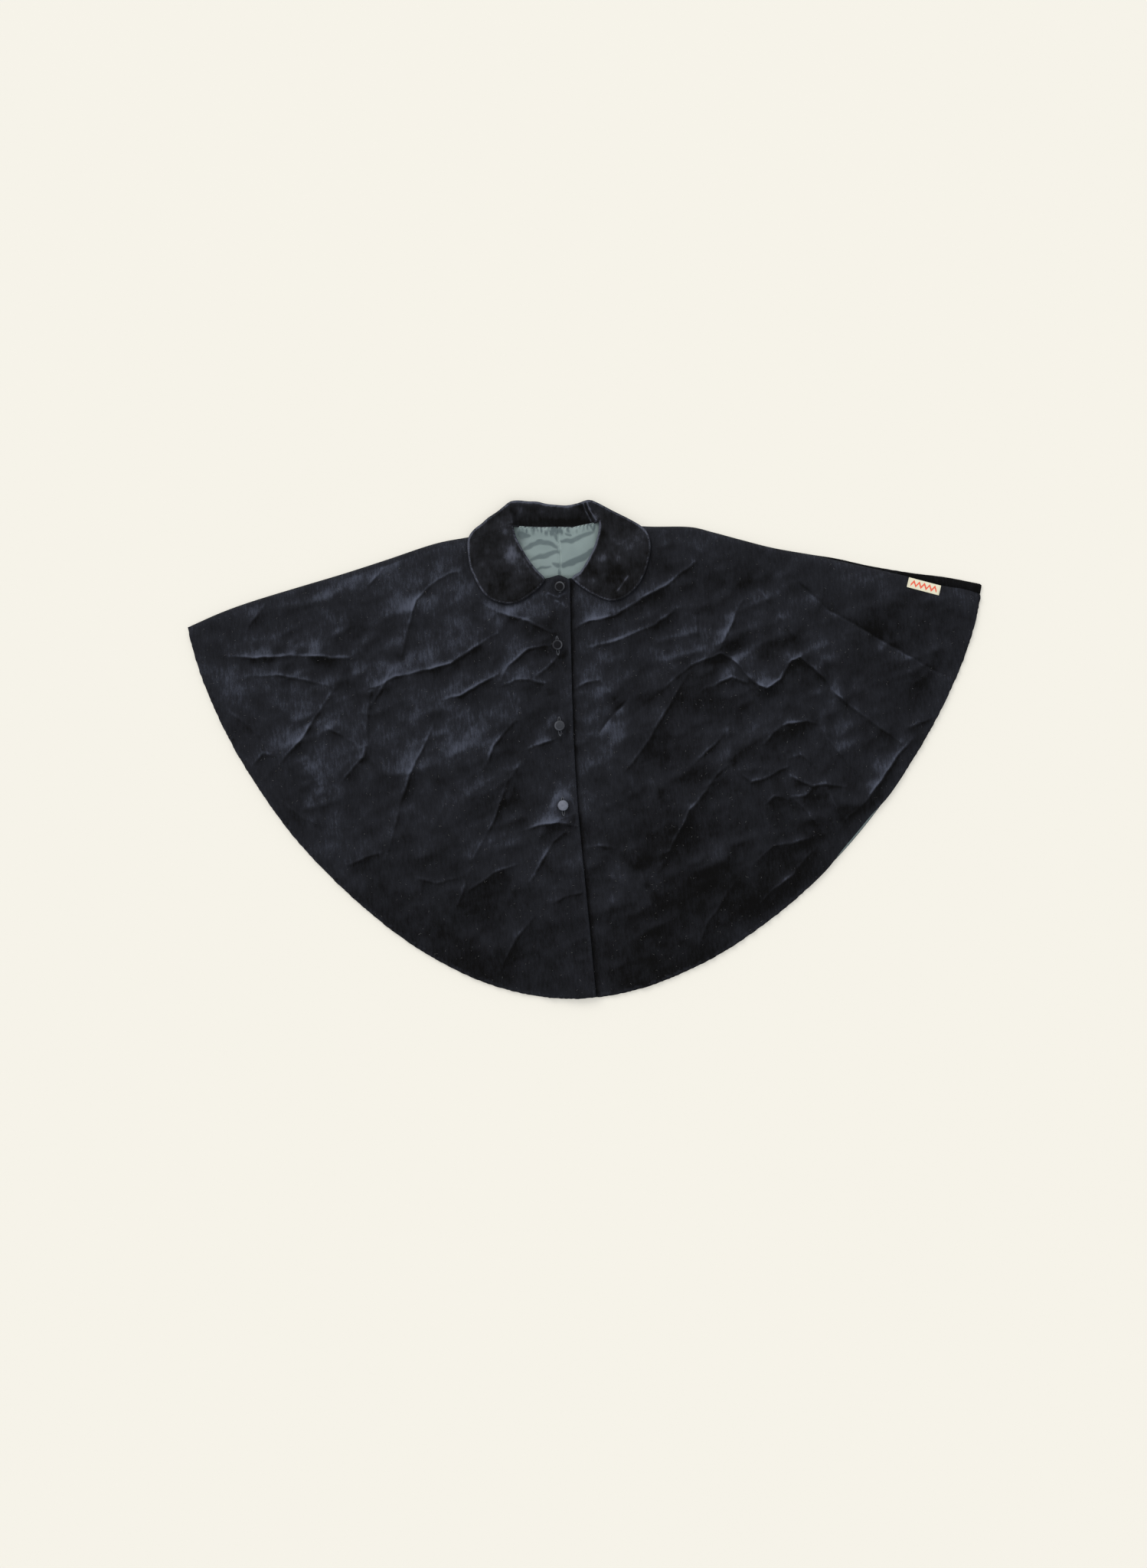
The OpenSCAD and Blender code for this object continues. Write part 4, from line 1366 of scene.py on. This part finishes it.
cover_colours = [(0.0065, 0.0065, 0.0075), (0.0065, 0.0065, 0.008), (0.034, 0.036, 0.042),
                 (0.15, 0.158, 0.19)]
COVER_OUTSIDE = [(0.0, 4.25), (2.4, 4.22), (4.4, 3.95), (5.5, 3.5), (6.3, 2.8), (6.85, 1.9), (6.9, 1.2),
                 (6.5, 0.5), (6.25, 0.25)]
COVER_INSIDE = [(6.1, 0.4), (6.12, 1.2), (6.12, 3.3), (5.7, 3.55), (3.0, 3.7), (0.0, 3.72)]
TURNS = 48
RIM_PALE_AND_HIGHLIGHT = (0.55, 0.5, 0.4, 0.0)
RIM_LIGHT = (0.9, -0.4, 3.6, 0.0)
for n in range(1, 5):
    low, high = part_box(f"button_cover_{n}")
    centre = (low + high) / 2 * 1000
    base = low.z * 1000
    profile = COVER_OUTSIDE[1:] + COVER_INSIDE[:-1]
    corners = [(centre.x, centre.y, base + COVER_OUTSIDE[0][1])]
    angles = np.linspace(0, math.tau, TURNS, endpoint=False)
    for row, (r, z) in enumerate(profile):
        gather = 0.10 * np.cos(angles * 15 + n) * (4 < row < 9) + 0.04 * np.cos(angles * 7 + n)
        for a, g in zip(angles, gather):
            far = min(r + g, 6.98) if row < len(COVER_OUTSIDE) - 1 else r
            corners.append((centre.x + far * math.cos(a), centre.y + far * math.sin(a), base + z))
    corners.append((centre.x, centre.y, base + COVER_INSIDE[-1][1]))
    faces = [(0, 1 + i, 1 + (i + 1) % TURNS) for i in range(TURNS)]
    for row in range(len(profile) - 1):
        for i in range(TURNS):
            a, b = 1 + row * TURNS + i, 1 + row * TURNS + (i + 1) % TURNS
            faces.append((a, a + TURNS, b + TURNS, b))
    last = 1 + (len(profile) - 1) * TURNS
    faces += [(last + i, len(corners) - 1, last + (i + 1) % TURNS) for i in range(TURNS)]
    mesh = bpy.data.meshes.new(f"button_cloth_{n}")
    mesh.from_pydata([tuple(c * MM for c in corner) for corner in corners], [], faces)
    mesh.polygons.foreach_set("use_smooth", np.ones(len(mesh.polygons), bool))
    spots = np.array(corners) - (centre.x, centre.y, 0)
    out_to, around = np.hypot(spots[:, 0], spots[:, 1]), np.arctan2(spots[:, 1], spots[:, 0])
    # The rim's pale ring is painted brighter on the side towards the light: a painted highlight.
    lit_side = 0.35 + 0.65 * smooth(-0.4, 0.9, np.cos(around - RIM_LIGHT[n - 1]))
    pale_rim_and_highlight_ring = ridge(out_to - 5.8, 0.5) * lit_side
    store(mesh, "rub", np.where(spots[:, 2] > base + 2, pale_rim_and_highlight_ring * RIM_PALE_AND_HIGHLIGHT[n - 1], 0))
    gloss = 0.9 if n < 3 else 0.55
    finish = button_finish(f"button_cover_{n}_cloth", cover_colours[n - 1], gloss)
    cover = dressed(f"button_cloth_{n}", mesh, finish)
    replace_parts(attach(cover, f"button_{n}"), f"button_cover_{n}")


def metal_finish():
    """Bare stamped steel, scuffed."""
    made, tree, shader = new_finish("button_metal", Metallic=1.0)
    where = tree.nodes.new("ShaderNodeTexCoord").outputs["Object"]
    scuff = pattern(tree, "Noise", where, Scale=900.0, Detail=3.0)
    tree.links.new(mixed(tree, (0.42, 0.42, 0.43), (0.60, 0.60, 0.61), scuff), shader.inputs["Base Color"])
    tree.links.new(ranged(tree, scuff, To_Min=0.28, To_Max=0.5), shader.inputs["Roughness"])
    return made


shell_metal = metal_finish()
back_fibre = woven_finish("button_back_fibre", (0.02, 0.02, 0.03), (0.05, 0.05, 0.07), 900.0, 0.6)
sewing_cotton = woven_finish("sewing_cotton", (0.012, 0.013, 0.02), (0.05, 0.055, 0.075), 2500.0)


for n in range(1, 5):
    for cad_name, finish in ((f"button_shell_{n}", shell_metal), (f"button_back_{n}", back_fibre),
                             (f"button_thread_{n}", sewing_cotton)):
        solid = bpy.data.objects[cad_name]
        solid.data.materials.clear()
        solid.data.materials.append(finish)

# Stitches and lint: silk buttonhole stitch worked round each slit, cotton hand
# stitches through the neck seam, and loose fibres caught in the fronts' pile.
def start_tree(name, source, numbers, material, result):
    """A new node tree with named inputs: what it runs on, its sizes, its seed and its finish."""
    tree = bpy.data.node_groups.new(name, "GeometryNodeTree")
    face = tree.interface
    face.new_socket(source, in_out="INPUT", socket_type="NodeSocketGeometry")
    for label, value in numbers.items():
        face.new_socket(label, in_out="INPUT", socket_type="NodeSocketFloat").default_value = value
    face.new_socket("Seed", in_out="INPUT", socket_type="NodeSocketInt").default_value = 1
    face.new_socket(material, in_out="INPUT", socket_type="NodeSocketMaterial")
    face.new_socket(result, in_out="OUTPUT", socket_type="NodeSocketGeometry")
    return tree, tree.nodes.new("NodeGroupInput").outputs


def chance(tree, kind, low, high, seed=None):
    """A different random number, or three, for each copy."""
    made = tree.nodes.new("FunctionNodeRandomValue")
    made.data_type = kind
    first = 0 if kind == "FLOAT_VECTOR" else 2
    made.inputs[first].default_value = low
    made.inputs[first + 1].default_value = high
    if seed is not None:
        tree.links.new(seed, made.inputs["Seed"])
    return made.outputs[first // 2]


def thread_on_points(tree, points, path, sides, radius, finish):
    """Puts a thread along a path at every point, makes it real and gives it its finish."""
    join = tree.links.new
    place = tree.nodes.new("GeometryNodeInstanceOnPoints")
    ring = node(tree, "GeometryNodeCurvePrimitiveCircle", Resolution=sides)
    if isinstance(radius, bpy.types.NodeSocket):
        join(radius, ring.inputs["Radius"])
    else:
        ring.inputs["Radius"].default_value = radius
    sweep = node(tree, "GeometryNodeCurveToMesh", Fill_Caps=True)
    realize = tree.nodes.new("GeometryNodeRealizeInstances")
    dress = tree.nodes.new("GeometryNodeSetMaterial")
    join(points, place.inputs["Points"])
    join(path, sweep.inputs["Curve"])
    join(ring.outputs[0], sweep.inputs["Profile Curve"])
    join(sweep.outputs[0], place.inputs["Instance"])
    join(place.outputs[0], realize.inputs[0])
    join(realize.outputs[0], dress.inputs["Geometry"])
    join(finish, dress.inputs["Material"])
    join(dress.outputs[0], tree.nodes.new("NodeGroupOutput").inputs[0])
    return place


def stitch_tree():
    """Lays short rounded stitches along a line, each turned by a set angle to it."""
    sizes = {"Pitch": 0.003, "Length": 0.002, "Radius": 0.0002, "Turn": 0.0}
    tree, given = start_tree("stitches", "Seam", sizes, "Thread", "Stitches")
    join = tree.links.new
    seam = tree.nodes.new("GeometryNodeMeshToCurve")
    spaced = tree.nodes.new("GeometryNodeResampleCurve")
    spaced.mode = "LENGTH"
    join(given["Seam"], seam.inputs[0])
    join(seam.outputs[0], spaced.inputs["Curve"])
    join(given["Pitch"], spaced.inputs["Length"])
    stitch = tree.nodes.new("GeometryNodeCurvePrimitiveLine")
    stitch.mode = "DIRECTION"
    stitch.inputs["Direction"].default_value = (1, 0, 0)
    from_middle = tree.nodes.new("ShaderNodeCombineXYZ")
    join(sum_of(tree, given["Length"], -0.5, "MULTIPLY"), from_middle.inputs["X"])
    join(from_middle.outputs[0], stitch.inputs["Start"])
    join(given["Length"], stitch.inputs["Length"])
    place = thread_on_points(tree, spaced.outputs[0], stitch.outputs[0], 6, given["Radius"],
                             given["Thread"])
    align = tree.nodes.new("FunctionNodeAlignEulerToVector")
    align.axis = "X"
    join(tree.nodes.new("GeometryNodeInputTangent").outputs[0], align.inputs["Vector"])
    spin = tree.nodes.new("FunctionNodeRotateEuler")
    spin.space = "LOCAL"
    turned = tree.nodes.new("ShaderNodeCombineXYZ")
    uneven = chance(tree, "FLOAT", -0.12, 0.12, given["Seed"])
    join(sum_of(tree, given["Turn"], uneven), turned.inputs["Z"])
    join(align.outputs[0], spin.inputs["Rotation"])
    join(turned.outputs[0], spin.inputs["Rotate By"])
    join(spin.outputs[0], place.inputs["Rotation"])
    return tree


STITCHES = stitch_tree()


def grown(name, source_mesh, tree, values):
    """Runs a node tree on a mesh and keeps what it makes as a plain mesh."""
    holder = link(bpy.data.objects.new(name + "_guide", source_mesh))
    grow = holder.modifiers.new("grow", "NODES")
    grow.node_group = tree
    for item in tree.interface.items_tree:
        if item.in_out == "INPUT" and item.name in values:
            grow[item.identifier] = values[item.name]
    bpy.context.view_layer.update()
    shape = bpy.data.meshes.new_from_object(holder.evaluated_get(bpy.context.evaluated_depsgraph_get()))
    shape.name = name
    bpy.data.objects.remove(holder)
    return link(bpy.data.objects.new(name, shape))


def seam_mesh(name, lines):
    """Lines in millimetres as one mesh of edges."""
    corners, edges = [], []
    for line in lines:
        edges += [(len(corners) + i, len(corners) + i + 1) for i in range(len(line) - 1)]
        corners += [tuple(float(c) * MM for c in p) for p in line]
    mesh = bpy.data.meshes.new(name)
    mesh.from_pydata(corners, edges, [])
    return mesh


def raised(line, top_of, lift):
    """A flat line set on a surface, lifted a little."""
    line = np.array(line, float)
    return np.column_stack([line, top_of(*line.T) + lift])


buttonhole_silk = woven_finish("buttonhole_silk", (0.05, 0.054, 0.065), (0.26, 0.28, 0.33), 2500.0, 0.5)
for n, (place, long) in enumerate(zip(BUTTONS, hole_lengths), 1):
    ring = evenly(slit(place, 3.6, long + 1.2, 60), 0.5)
    ring = np.vstack([ring, ring[:1]])
    lines = seam_mesh(f"buttonhole_path_{n}", [raised(ring, front_top, 0.15)])
    worked = grown(f"worked_buttonhole_{n}", lines, STITCHES,
                   {"Pitch": 0.0005, "Length": 0.00115, "Radius": 0.00016, "Turn": math.pi / 2,
                    "Seed": n, "Thread": buttonhole_silk})
    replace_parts(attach(worked, "right_front"), f"buttonhole_{n}")


def lint_tree():
    """Scatters short bent fibres over the upward side of a cloth."""
    tree, given = start_tree("lint", "Cloth", {"Number": 2500.0}, "Fibre", "Lint")
    join = tree.links.new
    parts = tree.nodes.new("ShaderNodeSeparateXYZ")
    join(tree.nodes.new("GeometryNodeInputNormal").outputs[0], parts.inputs[0])
    upward = tree.nodes.new("FunctionNodeCompare")
    upward.operation = "GREATER_THAN"
    upward.inputs[1].default_value = 0.4
    join(parts.outputs["Z"], upward.inputs[0])
    scatter = tree.nodes.new("GeometryNodeDistributePointsOnFaces")
    join(given["Cloth"], scatter.inputs["Mesh"])
    join(upward.outputs[0], scatter.inputs["Selection"])
    join(given["Number"], scatter.inputs["Density"])
    join(given["Seed"], scatter.inputs["Seed"])
    fibre = node(tree, "GeometryNodeCurveQuadraticBezier", Resolution=4, Start=(-0.0011, 0, 0.0001),
                 Middle=(0, 0.0009, 0.0005), End=(0.0011, 0, 0.0001))
    place = thread_on_points(tree, scatter.outputs["Points"], fibre.outputs[0], 3, 0.00010,
                             given["Fibre"])
    any_way = chance(tree, "FLOAT_VECTOR", (-0.25, -0.25, 0.0), (0.25, 0.25, 6.283), given["Seed"])
    join(any_way, place.inputs["Rotation"])
    join(chance(tree, "FLOAT", 0.35, 1.15), place.inputs["Scale"])
    return tree


LINT = lint_tree()
lint_cotton = woven_finish("lint_cotton", (0.10, 0.10, 0.10), (0.46, 0.44, 0.40), 1500.0, 0.9)
for number, (side, velvet) in enumerate((("right", right_velvet), ("left", left_velvet))):
    fibres = grown(f"{side}_front_lint", velvet.data.copy(), LINT,
                   {"Number": 3600.0, "Seed": 11 + number, "Fibre": lint_cotton})
    turn_with_front(fibres)

neck_stitch_run = raised(neck_run[4:-4] + (0, 0.5), lambda x, y: np.maximum(back_lining_top(x, y), 2.6), 0.15)
neck_stitches = grown("neck_hand_stitches", seam_mesh("neck_stitch_path", [neck_stitch_run]), STITCHES,
                      {"Pitch": 0.0052, "Length": 0.0026, "Radius": 0.00028, "Turn": 0.35, "Seed": 7,
                       "Thread": sewing_cotton})
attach(neck_stitches, "back")

# Label: a small tab of woven cotton at the wearer's left shoulder, cream with a
# coral zigzag, tacked down at its two ends.
label_centre = np.array([465.4, -97.8])
label_angle = math.radians(-18.6)
label_along = np.array([math.cos(label_angle), math.sin(label_angle)])
label_up = np.array([-label_along[1], label_along[0]])
LABEL_W, LABEL_H = 43.0, 13.2
LABEL_THICK = 0.4
LABEL_LIFT = 0.55
LABEL_NET = 0.55
ZIGZAG_LONG, ZIGZAG_HIGH, ZIGZAG_WIDE = 7.0, 3.0, 1.9
TACK_AT, TACK_HALF = 20.3, 5.4


def label_top(x, y):
    """Height of the top of the label, on the front under the lap."""
    return under_lap_top(x, y) + LABEL_LIFT


def on_label(across_it, up_it):
    """The place a distance along and up from the label's middle."""
    return label_centre + label_along * across_it + label_up * up_it


label_cut = np.array([on_label(-LABEL_W / 2, -LABEL_H / 2), on_label(LABEL_W / 2, -LABEL_H / 2),
                      on_label(LABEL_W / 2, LABEL_H / 2), on_label(-LABEL_W / 2, LABEL_H / 2)])


def label_finish():
    """A close weave of cream thread, with the coral one brought up where the pattern is."""
    made, tree, shader = new_finish("label_weave", Roughness=0.7, Sheen_Weight=0.2)
    where = tree.nodes.new("ShaderNodeTexCoord").outputs["Object"]
    over = sum_of(tree, *crossed(tree, where, Scale=620.0))
    crisp = ranged(tree, stored(tree, "pattern"), From_Min=0.4, From_Max=0.6)
    threads = mixed(tree, (0.80, 0.745, 0.55), (0.84, 0.11, 0.05), crisp)
    shade = ranged(tree, over, From_Max=2.0, To_Min=0.82, To_Max=1.05)
    woven = mixed(tree, threads, shade, 1.0, "MULTIPLY")
    tree.links.new(woven, shader.inputs["Base Color"])
    roughen(tree, shader, over, 0.35, 0.0002)
    return made


label_piece = cloth("shoulder_label", label_cut, LABEL_NET, label_top, LABEL_THICK, label_finish())
spots = flat_places(label_piece) - label_centre
along_label, up_label = spots @ label_along, spots @ label_up
zigzag = ZIGZAG_HIGH * (2 * np.abs((along_label / ZIGZAG_LONG) % 1 - 0.5) * 2 - 1)
drawn = (np.abs(up_label - zigzag) < ZIGZAG_WIDE) & (np.abs(along_label) < 2.5 * ZIGZAG_LONG)
store(label_piece.data, "pattern", drawn.astype(float))
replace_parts(turn_with_front(label_piece), "woven_label")
declare(np.array([(0, 0), (LABEL_W, 0), (LABEL_W, LABEL_H), (0, LABEL_H)]))
ends = [raised(np.linspace(on_label(end, -TACK_HALF), on_label(end, TACK_HALF), 12), label_top, 0.2)
        for end in (-TACK_AT, TACK_AT)]
label_cotton = woven_finish("label_cotton", (0.55, 0.5, 0.38), (0.8, 0.75, 0.6), 2500.0)
tacks = grown("label_tacks", seam_mesh("label_tack_path", ends), STITCHES,
              {"Pitch": 0.0018, "Length": 0.0011, "Radius": 0.00016, "Turn": 0.1, "Seed": 3,
               "Thread": label_cotton})
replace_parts(turn_with_front(tacks), "label_stitches")
